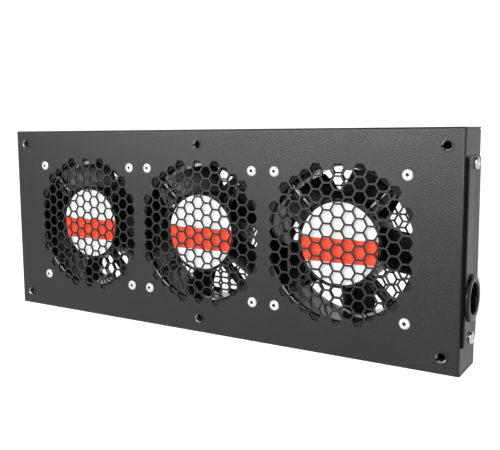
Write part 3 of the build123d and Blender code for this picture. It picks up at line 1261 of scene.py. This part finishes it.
@dataclass
class Fasteners:
    """The rivets, the threaded inserts and the cover's screws.

    Attributes:
        rivet_dome: The dome's shoulders, as parts of the head's radius and height.
        rivet_edge: The height of the head's straight edge.
        rivet_bulb: The blind head's radius.
        bulb_places: How far past the grip it is full, starts to close and is closed.
        pin_hole: The radius of the hole in the head, down which the pin has broken off.
        pin_taper: How much narrower the hole is at the pin.
        mouth_depth: The depth of the hole's flare.
        mouth_flare: How much wider the flare is at the front.
        pin_face: The depth of the pin's broken face at its edge.
        pin_dish: The same at its middle.
        finish_slack: How far past the edge of a form its finish still counts.
    """

    rivet_head: float = 4.2
    rivet_height: float = 1.3
    rivet_dome: Profile = ((0.62, 1.0), (0.86, 0.68))
    rivet_edge: float = 0.25
    rivet_shank: float = 2.1
    rivet_grip: float = 6.7
    rivet_bulb: float = 3.1
    bulb_places: tuple[float, float, float] = (0.6, 2.9, 3.5)
    pin_hole: float = 1.25
    pin_taper: float = 0.25
    mouth_depth: float = 0.5
    mouth_flare: float = 0.15
    pin_face: float = 0.3
    pin_dish: float = 0.4
    insert_flange: float = 4.9
    insert_flange_height: float = 0.5
    insert_body: float = 4.5
    insert_mouth: float = 3.7
    insert_length: float = 14.0
    lead_in_depth: float = 0.6
    thread_radius: float = 2.6
    thread_pitch: float = 1.0
    thread_depth: float = 0.45
    screw_head: float = 2.7
    screw_length: float = 6.0
    recess_length: float = 3.0
    recess_width: float = 0.7
    recess_depth: float = 0.8
    finish_slack: float = 0.05

    def rivets(self) -> bpy.types.Object:
        """Models one domed blind rivet with its broken pin and copies it to every hole.

        Returns:
            All the rivets as one piece.
        """
        height, head = self.rivet_height, self.rivet_head
        full, end, tip = (self.rivet_grip + place for place in self.bulb_places)
        profile = (
            (0, self.pin_dish),
            (self.pin_hole - self.pin_taper, self.pin_face),
            (self.pin_hole, -height + self.mouth_depth),
            (self.pin_hole + self.mouth_flare, -height),
            *((head * out, -height * up) for out, up in self.rivet_dome),
            (head, -self.rivet_edge),
            (head, 0),
            (self.rivet_shank, 0),
            (self.rivet_shank, self.rivet_grip),
            (self.rivet_bulb, full),
            (self.rivet_bulb, end),
            (0, tip),
        )
        rivet = lathe("rivet", profile, steps=40)
        soften(rivet, 0.18, angle=20.0)
        RIVET_ALUMINIUM.dress(rivet)
        upper = (-height + self.mouth_depth + self.finish_slack) * MM
        lower = (self.pin_dish + 2 * self.finish_slack) * MM
        # The pins' faces and the hole walls above them go dark: the pins' steel, with painted shade down
        # the holes.
        PIN_STEEL_AND_SHADE.dress_faces(
            rivet,
            lambda face: upper < face.center.y < lower
            and off_axis(face.center) < self.pin_hole + self.finish_slack,
        )
        return repeated(rivet, RIVET_PLACES, "rivet_set")

    def inserts(self) -> bpy.types.Object:
        """Models one insert with its thread cut as grooves and copies it to every hole.

        Returns:
            All the inserts as one piece.
        """
        profile = [
            (self.thread_radius, self.lead_in_depth),
            (self.insert_mouth, -self.insert_flange_height),
            (self.insert_flange, -self.insert_flange_height),
            (self.insert_flange, 0),
            (self.insert_body, 0),
            (self.insert_body, self.insert_length),
            (self.thread_radius, self.insert_length),
        ]
        half_pitch = self.thread_pitch / 2
        turns = int((self.insert_length - self.lead_in_depth - half_pitch) / self.thread_pitch)
        for turn in range(turns, 0, -1):
            crest = self.lead_in_depth + turn * self.thread_pitch
            profile.append((self.thread_radius, crest))
            profile.append((self.thread_radius + self.thread_depth, crest - half_pitch))
        profile.append(profile[0])
        insert = lathe("insert", profile, steps=40)
        soften(insert, 0.12, segments=1, angle=50.0)
        # The whole insert starts in zinc darkened nearly to black: painted shade for the depth of the hole.
        SHADE_DARKENED_ZINC.dress(insert)
        inner, outer = self.thread_radius + 2 * NEAR, self.insert_mouth + self.finish_slack
        # The lead-in cone gets the greyed zinc: painted shade at each hole's mouth.
        GREYED_MOUTH_ZINC.dress_faces(
            insert,
            lambda face: face.center.y / MM < self.lead_in_depth
            and inner < off_axis(face.center) < outer,
        )
        POWDER_COAT.dress_faces(
            insert,
            lambda face: face.center.y / MM < self.finish_slack and off_axis(face.center) > outer,
        )
        return repeated(insert, INSERT_PLACES, "insert_set")

    def cover_screws(self) -> bpy.types.Object:
        """Models one countersunk screw with its cross recess and copies it to every place.

        Returns:
            All the screws as one piece.
        """
        profile = (
            (0, 0),
            (self.screw_head, 0),
            (COVER_SCREW_RADIUS, -SHEET),
            (COVER_SCREW_RADIUS, -self.screw_length),
            (0, -self.screw_length),
        )
        screw = lathe("screw", profile, axis=Axis.Z, steps=32)
        length, width = self.recess_length / 2, self.recess_width / 2
        for along, across in ((length, width), (width, length)):
            low, high = (-along, -across, -self.recess_depth), (along, across, SPARE)
            cut(screw, [box_shape("recess", low, high)])
        soften(screw, 0.08, segments=1, angle=40.0)
        BLACK_OXIDE.dress(screw)
        half = TRAY_HEIGHT / 2
        copies = [copied(screw, (x, COVER_SCREW_Y, half)) for x in COVER_SCREW_X]
        screw.data.transform(Matrix.Rotation(math.pi, 4, "X"))
        copies += [copied(screw, (x, COVER_SCREW_Y, -half)) for x in COVER_SCREW_X]
        bpy.data.objects.remove(screw)
        return joined(copies, "cover_screw_set")

    def build(self) -> None:
        """Models every fastener and fixes it to the tray."""
        for piece, node, slot in (
            (self.rivets(), "fan_rivets", "rivet_aluminium"),
            (self.inserts(), "mounting_inserts", "zinc_plated_steel"),
            (self.cover_screws(), "cover_screws", "zinc_plated_steel"),
        ):
            stand_in(piece, "tray", node)


# The fans


@dataclass
class FanCasting:
    """The die-cast frame of one fan: flanges, duct, struts and motor base.

    Attributes:
        flare: How much wider the duct is at its mouths.
        flare_depth: How deep the flare reaches.
        flare_middle: A point on its curve, as parts of the flare and its depth.
        lip_radius: The outer radius of the narrow slope round each mouth.
        lip_drop: The depth of that slope.
        lip_facet: Half the width of the facet inside that slope, and the facet's depth.
        collar: How far the duct's collar runs into the flange's hole wall.
        collar_short: How far it stops short of the flange's rear.
        strut_root: How far a strut runs into the motor base.
        strut_tip: How far it stops short of the barrel's outside.
        ridge_slope: How far the strut's outer edges lie behind its ridges.
    """

    size: float = 119.5
    front: float = SHEET
    depth: float = 38.0
    corner: float = 5.0
    flange: float = 5.5
    barrel_radius: float = 59.2
    duct_radius: float = 57.3
    flare: float = 0.7
    flare_depth: float = 4.0
    flare_middle: Point = (0.3, 0.45)
    lip_radius: float = 58.8
    lip_drop: float = 0.28
    lip_facet: Point = (0.2, 0.75)
    collar: float = 0.2
    collar_short: float = 0.5
    screw_hole: float = 2.15
    strut_front: float = 2.9
    strut_depth: float = 4.1
    strut_width: float = 7.0
    strut_root: float = 1.0
    strut_tip: float = 0.6
    strut_angles: Sequence[float] = (45.0, 135.0, 225.0, 315.0)
    groove_width: float = 3.0
    groove_depth: float = 2.2
    ridge_slope: float = 0.55
    base_radius: float = 33.5
    base_front: float = 2.9
    base_rear: float = 7.0
    seat_radius: float = 31.4
    seat_depth: float = 1.1
    tube_radius: float = 9.0
    tube_rear: float = 30.0
    bearing_radius: float = 6.5

    @property
    def rear(self) -> float:
        """The depth of the casting's rear face."""
        return self.front + self.depth

    def flange_plate(self, front: float) -> bpy.types.Object:
        """Models one square flange with its screw holes.

        Args:
            front: The depth of its front face.

        Returns:
            The flange.
        """
        loops = [
            outline_shape("outline", (self.size, self.size), self.corner),
            loop_shape("duct", self.lip_radius, steps=128),
            *(loop_shape("hole", self.screw_hole, place, 24) for place in FAN_SCREWS),
        ]
        plate = plate_shape("flange", loops, front)
        thicken(plate, self.flange)
        soften(plate, 0.5)
        return plate

    def barrel(self) -> bpy.types.Object:
        """Models the duct, flared at both ends, with a collar that fills each flange's hole.

        Returns:
            The barrel.
        """
        wide = self.duct_radius + self.flare
        curve, curve_depth = self.flare_middle
        half_facet, facet_depth = self.lip_facet
        collar, collar_end = self.lip_radius + self.collar, self.flange - self.collar_short
        mouth = (
            (self.duct_radius, self.flare_depth),
            (self.duct_radius + self.flare * curve, self.flare_depth * curve_depth),
            (wide - half_facet, facet_depth),
            (wide + half_facet, self.lip_drop),
            (self.lip_radius, 0.0),
            (collar, 0.0),
            (collar, collar_end),
            (self.barrel_radius, collar_end),
        )
        profile = [(radius, self.front + place) for radius, place in mouth]
        profile += [(radius, self.rear - place) for radius, place in reversed(mouth)]
        profile.append(profile[0])
        barrel = lathe("barrel", profile, steps=128)
        shade(barrel, 14.0)
        return barrel

    def base(self) -> bpy.types.Object:
        """Models the motor base with the label's seat, and the bearing tube behind it.

        Returns:
            The base.
        """
        seat = self.base_front + self.seat_depth
        profile = (
            (self.bearing_radius, seat),
            (self.seat_radius, seat),
            (self.seat_radius, self.base_front),
            (self.base_radius, self.base_front),
            (self.base_radius, self.base_rear),
            (self.tube_radius, self.base_rear),
            (self.tube_radius, self.tube_rear),
            (self.bearing_radius, self.tube_rear),
            (self.bearing_radius, seat),
        )
        base = lathe("base", profile, steps=128)
        soften(base, 0.35, segments=3)
        return base

    def strut(self, angle: float) -> bpy.types.Object:
        """Models one strut: a bar with a channel let into its front.

        Args:
            angle: Its direction from the axis, in degrees.

        Returns:
            The strut.
        """
        half = self.strut_width / 2
        low = (self.base_radius - self.strut_root, self.strut_front, -half)
        high = (self.barrel_radius - self.strut_tip, self.strut_front + self.strut_depth, half)
        bar = box_shape("strut", low, high)
        pick_faces(bar, lambda face: face.normal.y < -SQUARE)
        with editing(bar):
            bpy.ops.mesh.inset(thickness=(self.strut_width - self.groove_width) / 2 * MM)
            drop = (0, self.groove_depth * MM, 0)
            bpy.ops.mesh.extrude_region_move(TRANSFORM_OT_translate={"value": drop})
        pick_edges(
            bar,
            lambda place: abs(place.y / MM - self.strut_front) < NEAR
            and abs(abs(place.z / MM) - half) < NEAR,
        )
        with editing(bar, Pick.EDGES):
            bpy.ops.transform.translate(value=(0, self.ridge_slope * MM, 0))
        soften(bar, 0.3, segments=3)
        bar.data.transform(Matrix.Rotation(math.radians(angle), 4, "Y"))
        return bar

    def build(self) -> bpy.types.Object:
        """Models the whole casting about the origin's axis.

        Returns:
            The casting.
        """
        parts = [
            self.barrel(),
            self.flange_plate(self.front),
            self.flange_plate(self.rear - self.flange),
            self.base(),
            *(self.strut(angle) for angle in self.strut_angles),
        ]
        casting = joined(parts, "casting")
        shade_flats(casting)
        CAST_ENAMEL.dress(casting)
        return casting


@dataclass
class FanWheel:
    """The moulded impeller of one fan: a cup-shaped hub and its blades.

    Attributes:
        rim_round: The rounding of the hub's rear rim.
        ring_radii: The inner and outer radius of the ring let into the hub's rear face.
        ring_slope: How much narrower the ring is on each side at its bottom.
        seat_radius: Where the blades start, inside the hub's wall.
        half_span: Half a blade's width round the axis.
        camber: How far its arc bows from its chord.
        edge_trim: How much is left off each end of its arc, for its rounded edges.
        root_spare: How far the strip that a blade is cut from runs on into the hub.
        tip_spare: How far it runs past the tip, and how far its cutter runs past the hub.
        blade_steps: How many strips go round the cylinder that a blade is cut from.
    """

    hub_radius: float = 32.5
    hub_bore: float = 30.2
    hub_front: float = 8.4
    hub_rear: float = 37.8
    hub_floor: float = 2.5
    rim_round: float = 1.9
    ring_radii: Point = (9.0, 25.0)
    ring_slope: float = 0.6
    ring_depth: float = 0.7
    boss_radius: float = 6.0
    boss_front: float = 30.0
    shaft_radius: float = 2.0
    blade_count: int = 5
    tip_radius: float = 55.8
    seat_radius: float = 31.5
    blade_front: float = 11.0
    blade_rear: float = 35.5
    half_span: float = 17.5
    blade_thickness: float = 2.0
    camber: float = 2.0
    edge_trim: float = 0.6
    root_spare: float = 6.0
    tip_spare: float = 5.0
    blade_steps: int = 240

    def hub(self) -> bpy.types.Object:
        """Models the hub: a turned cup with a shallow ring let into its rear face.

        Returns:
            The hub.
        """
        rear, floor = self.hub_rear, self.hub_rear - self.hub_floor
        inner, outer = self.ring_radii
        profile = (
            (self.shaft_radius, self.boss_front),
            (self.shaft_radius, rear),
            (inner, rear),
            (inner + self.ring_slope, rear - self.ring_depth),
            (outer - self.ring_slope, rear - self.ring_depth),
            (outer, rear),
            (self.hub_radius, rear),
            (self.hub_radius, self.hub_front),
            (self.hub_bore, self.hub_front),
            (self.hub_bore, floor),
            (self.boss_radius, floor),
            (self.boss_radius, self.boss_front),
            (self.shaft_radius, self.boss_front),
        )
        hub = lathe("hub", profile, steps=112)
        pick_edges(
            hub,
            lambda place: abs(off_axis(place) - self.hub_radius) < NEAR and abs(place.y / MM - rear) < NEAR,
        )
        bevel_picks(hub, self.rim_round, 5)
        soften(hub, 0.25, angle=40.0)
        return hub

    def blade(self) -> bpy.types.Object:
        """Models one blade: a strip of a large cylinder, thickened and trimmed to its place.

        Returns:
            The blade, pointing along X.
        """
        drop = self.blade_rear - self.blade_front
        chord = math.hypot(2 * self.half_span, drop)
        bow = (chord * chord / 4 + self.camber**2) / (2 * self.camber)
        pitch = math.atan2(drop, 2 * self.half_span)
        # The bow's centre lies behind the chord's middle; Z runs round the axis here
        towards = Vector((0, -math.cos(pitch), -math.sin(pitch)))
        along = Vector((0, -math.sin(pitch), math.cos(pitch)))
        middle = Vector((0, (self.blade_front + self.blade_rear) / 2, 0))
        centre = middle - towards * (bow - self.camber)
        root, tip = self.seat_radius - self.root_spare, self.tip_radius + self.tip_spare
        deselect_all()
        bpy.ops.mesh.primitive_cylinder_add(
            vertices=self.blade_steps,
            radius=bow * MM,
            depth=(tip - root) * MM,
            end_fill_type="NOTHING",
            location=((root + tip) / 2 * MM, centre.y * MM, centre.z * MM),
            rotation=(0, math.pi / 2, 0),
        )
        blade = named("blade")
        half_chord = chord / 2 - self.edge_trim

        def outside(face: bpy.types.MeshPolygon) -> bool:
            """Tells whether a strip lies off the blade."""
            arm = Vector((0, face.center.y, face.center.z)) / MM - centre
            return arm.dot(towards) < 0 or abs(arm.dot(along)) > half_chord

        delete_faces(blade, outside)
        use_modifier(blade, "SOLIDIFY", thickness=self.blade_thickness * MM, offset=0.0)
        weld(blade)
        behind = self.hub_rear + self.tip_spare
        ring = (
            (self.seat_radius, 0),
            (self.tip_radius, 0),
            (self.tip_radius, behind),
            (self.seat_radius, behind),
            (self.seat_radius, 0),
        )
        cut(blade, [lathe("trim", ring, steps=self.blade_steps)], keep=True)
        weld(blade)
        soften(blade, 0.7, segments=3, angle=50.0)
        return blade

    def build(self) -> bpy.types.Object:
        """Models the wheel with its first blade along X.

        Returns:
            The wheel.
        """
        blade = self.blade()
        step = 360 / self.blade_count
        blades = [copied(blade, (0, 0, 0), turn=-i * step) for i in range(self.blade_count)]
        bpy.data.objects.remove(blade)
        wheel = joined([self.hub(), *blades], "wheel")
        WHEEL_PLASTIC.dress(wheel)
        return wheel


@dataclass
class FanLabel:
    """The round film on a motor base: white, with one plain red band."""

    radius: float = 31.0
    back: float = 4.0
    thickness: float = 0.4
    band_top: float = 3.6
    band_bottom: float = -14.5

    def build(self) -> bpy.types.Object:
        """Models the label: a disc cut across at the band's edges.

        Returns:
            The label.
        """
        deselect_all()
        bpy.ops.mesh.primitive_circle_add(
            vertices=128,
            radius=self.radius * MM,
            fill_type="NGON",
            location=(0, self.back * MM, 0),
            rotation=(math.pi / 2, 0, 0),
        )
        label = named("label")
        low, high = self.band_bottom * MM, self.band_top * MM
        with editing(label):
            for z in (high, low):
                bpy.ops.mesh.select_all(action="SELECT")
                bpy.ops.mesh.bisect(plane_co=(0, 0, z), plane_no=(0, 0, 1))
            bpy.ops.mesh.select_all(action="SELECT")
            forward = (0, -self.thickness * MM, 0)
            bpy.ops.mesh.extrude_region_move(TRANSFORM_OT_translate={"value": forward})
        weld(label)
        LABEL_WHITE.dress(label)
        LABEL_RED.dress_faces(label, lambda face: low < face.center.z < high)
        return label


@dataclass
class Fans:
    """The three fans: one casting, wheel and label modelled, and copied to each place.

    Attributes:
        blade_angles: The angle of one of each fan's blades as it stopped, from left to right.
    """

    blade_angles: tuple[float, float, float] = (35.0, 39.0, 63.0)

    def build(self) -> None:
        """Models the fans, with each wheel on its own turning body."""
        casting, wheel, label = FanCasting().build(), FanWheel().build(), FanLabel().build()
        for (side, x), blade_angle in zip(FAN_X.items(), self.blade_angles):
            frame = copied(casting, (x, 0, 0))
            frame.name = f"fan_casting_{side}"
            stand_in(frame, "tray", f"fan_frame_{side}")
            turned = copied(wheel, (x, 0, 0), turn=-blade_angle)
            turned.name = f"fan_wheel_{side}"
            stand_in(turned, f"{side}_impeller", f"impeller_{side}")
        for pattern in (casting, wheel):
            bpy.data.objects.remove(pattern)
        films = repeated(label, [(x, 0) for x in FAN_X.values()], "label_films")
        stand_in(films, "tray", "fan_labels")


# Inner pieces that keep their construction shapes

NODE_FINISHES: dict[str, Finish] = {
    "motor_bearings": BEARING_STEEL,
    "stator_cores": MOTOR_STEEL,
    "stator_windings": WINDING_COPPER,
    "fan_plugs": WIRING_PLASTIC,
    "lead_clips": TERMINAL_PLASTIC,
    "terminal_block": TERMINAL_PLASTIC,
    "terminal_stud": ZINC,
    "terminal_nut": ZINC,
    **{f"rotor_ring_{side}": MOTOR_STEEL for side in FAN_X},
    **{f"shaft_{side}": BEARING_STEEL for side in FAN_X},
    **{f"shaft_clip_{side}": ZINC for side in FAN_X},
    **{f"fan_lead_{side}": WIRING_PLASTIC for side in FAN_X},
}


def dress_nodes(nodes: dict[str, bpy.types.Object]) -> None:
    """Gives the construction nodes that stay in view their finishes."""
    for name, finish in NODE_FINISHES.items():
        finish.dress(nodes[name])


# The studio


@dataclass(frozen=True)
class Softbox:
    """A large rectangular lamp.

    Attributes:
        name: The lamp's name.
        place: Where it stands, in metres.
        target: What it faces, in metres.
        size: Its width and height, in metres.
        power: Its power in watts.
    """

    name: str
    place: Place
    target: Place
    size: Point
    power: float

    def build(self) -> None:
        """Hangs the lamp."""
        data = bpy.data.lights.new(self.name, "AREA")
        data.shape = "RECTANGLE"
        data.size, data.size_y = self.size
        data.energy = self.power
        lamp = bpy.data.objects.new(self.name, data)
        lamp.location = self.place
        direction = Vector(self.target) - Vector(self.place)
        lamp.rotation_euler = direction.to_track_quat("-Z", "Y").to_euler()
        bpy.context.scene.collection.objects.link(lamp)


@dataclass(frozen=True)
class BlackCard:
    """A black card that gives the object's gloss something dark to mirror.

    Attributes:
        name: The card's name.
        place: Its centre, in metres.
        turn: Its turns about X and Z, in degrees, from lying flat.
        size: Its width and height, in metres.
    """

    name: str
    place: Place
    turn: Point
    size: Point

    def build(self) -> None:
        """Hangs the card where it stays out of every picture."""
        deselect_all()
        tilt, swing = (math.radians(angle) for angle in self.turn)
        bpy.ops.mesh.primitive_plane_add(size=1.0, location=self.place, rotation=(tilt, 0, swing))
        card = named(self.name, (*self.size, 1.0))
        BLACK_FELT.dress(card)
        card.visible_camera = False


@dataclass(frozen=True)
class Camera:
    """The camera, placed where the photograph was taken from.

    Attributes:
        place: Where it stands, in metres.
        yaw: Its turn about Z, in radians.
        pitch: Its tilt, in radians.
        roll: Its turn about its own line of sight, in radians.
        lens: Its focal length, in millimetres.
        sensor: The width of its sensor, in millimetres.
        shift: How far its picture is shifted across and up, as parts of its width.
        sight: The nearest and the farthest that it sees, in metres.
    """

    place: Place = (0.335164, -0.470093, 0.082571)
    yaw: float = 0.566
    pitch: float = -0.122
    roll: float = 0.008
    lens: float = 50.535
    sensor: float = 36.0
    shift: Point = (0.0305, -0.01366)
    sight: Point = (0.01, 50.0)

    def build(self) -> None:
        """Stands the camera in its place and makes it the scene's camera."""
        data = bpy.data.cameras.new("camera")
        data.sensor_width = self.sensor
        data.lens = self.lens
        data.shift_x, data.shift_y = self.shift
        data.clip_start, data.clip_end = self.sight
        camera = bpy.data.objects.new("camera", data)
        # A camera starts by looking down, so the last turn makes it look along Y
        turn = (
            Matrix.Rotation(self.yaw, 3, "Z")
            @ Matrix.Rotation(self.pitch, 3, "X")
            @ Matrix.Rotation(self.roll, 3, "Y")
            @ Matrix(((1, 0, 0), (0, 0, -1), (0, 1, 0)))
        )
        camera.matrix_world = Matrix.Translation(self.place) @ turn.to_4x4()
        bpy.context.scene.collection.objects.link(camera)
        bpy.context.scene.camera = camera


@dataclass
class Studio:
    """A white floor that curves up to a white wall, soft lamps, black cards and the camera.

    Attributes:
        floor_level: The height of the floor, under the tray's lower wall.
        floor_size: The floor's length and width.
        wall_height: The height of the wall at its back.
        cove: How far the curve between them reaches.
        floor_glow: How brightly the backdrop glows for the camera.
        world_level: The strength of the even light all round.
        lamps: The lamps.
        cards: The cards.
    """

    floor_level: float = -TRAY_HEIGHT / 2 * MM
    floor_size: float = 12.0
    wall_height: float = 8.0
    cove: float = 2.5
    floor_glow: float = 0.85
    world_level: float = 0.75
    lamps: Sequence[Softbox] = (
        Softbox("front", (0.6, -0.95, 0.35), (0.0, 0.0, 0.0), (0.6, 0.4), 2.4),
        Softbox("strip", (-0.26, -0.8, 0.25), (-0.26, 0.0, 0.0), (1.2, 0.16), 10.5),
        Softbox("top", (0.0, -0.65, 0.65), (0.0, 0.0, 0.0), (1.2, 0.12), 2.5),
        Softbox("right_side", (1.3, 0.1, 0.7), (0.2, 0.0, 0.0), (0.8, 0.8), 2.5),
    )
    cards: Sequence[BlackCard] = (
        BlackCard("card_left", (-1.65, -0.95, 0.6), (90.0, -55.0), (1.1, 1.4)),
        BlackCard("card_front", (-0.2, -1.35, 0.6), (90.0, 0.0), (2.4, 1.4)),
        BlackCard("card_right", (1.15, -0.65, 0.5), (90.0, 70.0), (1.3, 1.4)),
        BlackCard("card_above", (0.0, 0.45, 1.3), (0.0, 0.0), (2.4, 1.6)),
    )

    def backdrop(self) -> None:
        """Models the floor and the wall behind it as one curved sheet."""
        deselect_all()
        bpy.ops.mesh.primitive_plane_add(size=self.floor_size, location=(0, 0, self.floor_level))
        sheet = named("backdrop")
        back = self.floor_size / 2 - NEAR * MM
        pick_edges(sheet, lambda place: place.y > back)
        with editing(sheet, Pick.EDGES):
            rise = (0, 0, self.wall_height)
            bpy.ops.mesh.extrude_region_move(TRANSFORM_OT_translate={"value": rise})
        pick_edges(sheet, lambda place: place.y > back and place.z < 0)
        bevel_picks(sheet, self.cove / MM, 12)
        shade(sheet, 60.0)
        sheet.data.materials.append(self.backdrop_material())

    def seen_rays(self, tree: bpy.types.NodeTree, *directly: str) -> bpy.types.NodeSocket:
        """Adds the nodes that tell a ray that has been mirrored or has come through glass.

        Args:
            tree: The node tree of the backdrop or the world.
            *directly: Other kinds of ray that count as well.

        Returns:
            1 on such a ray and 0 on any other.
        """
        rays = add_node(tree, "ShaderNodeLightPath").outputs
        found = rays["Is Glossy Ray"]
        for kind in ("Is Transmission Ray", *directly):
            either = add_node(tree, "ShaderNodeMath", {0: found, 1: rays[kind]}, operation="MAXIMUM")
            found = either.outputs["Value"]
        return found

    def backdrop_material(self) -> bpy.types.Material:
        """Makes the white of the backdrop: paper that glows a little for the camera and its mirrors.

        Returns:
            The material.
        """
        material = bpy.data.materials.new("white_paper")
        material.use_nodes = True
        tree = material.node_tree
        tree.nodes.clear()
        seen = add_node(
            tree,
            "ShaderNodeMath",
            {0: add_node(tree, "ShaderNodeLightPath").outputs["Is Camera Ray"], 1: self.floor_glow},
            operation="MULTIPLY",
        ).outputs["Value"]
        mirrored = self.seen_rays(tree)
        paper = add_node(tree, "ShaderNodeBsdfDiffuse", {"Color": linear("#cccccc")})
        glow = add_node(tree, "ShaderNodeEmission", {"Color": linear("#ffffff"), "Strength": seen})
        lit = add_node(
            tree,
            "ShaderNodeAddShader",
            {0: paper.outputs["BSDF"], 1: glow.outputs["Emission"]},
        ).outputs["Shader"]
        white = add_node(tree, "ShaderNodeEmission", {"Color": linear("#ffffff"), "Strength": 1.0})
        either = add_node(
            tree,
            "ShaderNodeMixShader",
            {0: mirrored, 1: lit, 2: white.outputs["Emission"]},
        )
        add_node(tree, "ShaderNodeOutputMaterial", {"Surface": either.outputs["Shader"]})
        return material

    def world(self) -> None:
        """Fills the room with even light, white where it is seen."""
        world = bpy.data.worlds.new("studio")
        bpy.context.scene.world = world
        world.use_nodes = True
        tree = world.node_tree
        tree.nodes.clear()
        level = add_node(
            tree,
            "ShaderNodeMix",
            {"Factor": self.seen_rays(tree, "Is Camera Ray"), "A": self.world_level, "B": 1.0},
            data_type="FLOAT",
        ).outputs["Result"]
        sky = add_node(tree, "ShaderNodeBackground", {"Color": linear("#ffffff"), "Strength": level})
        add_node(tree, "ShaderNodeOutputWorld", {"Surface": sky.outputs["Background"]})

    def build(self) -> None:
        """Sets up the room, the lamps, the cards and the camera."""
        self.backdrop()
        self.world()
        for piece in (*self.lamps, *self.cards, Camera()):
            piece.build()
        bpy.context.scene.view_settings.view_transform = "Standard"


def main() -> None:
    """Builds the tray's pieces in order, then the studio."""
    logging.basicConfig(level=logging.INFO, format="%(name)s: %(message)s")
    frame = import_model()
    for assembly in (FrontTray(), RearCover(), EndPlate(), Fasteners(), Fans()):
        assembly.build()
    dress_nodes(frame["nodes"])
    Studio().build()


if __name__ == "__main__":
    main()
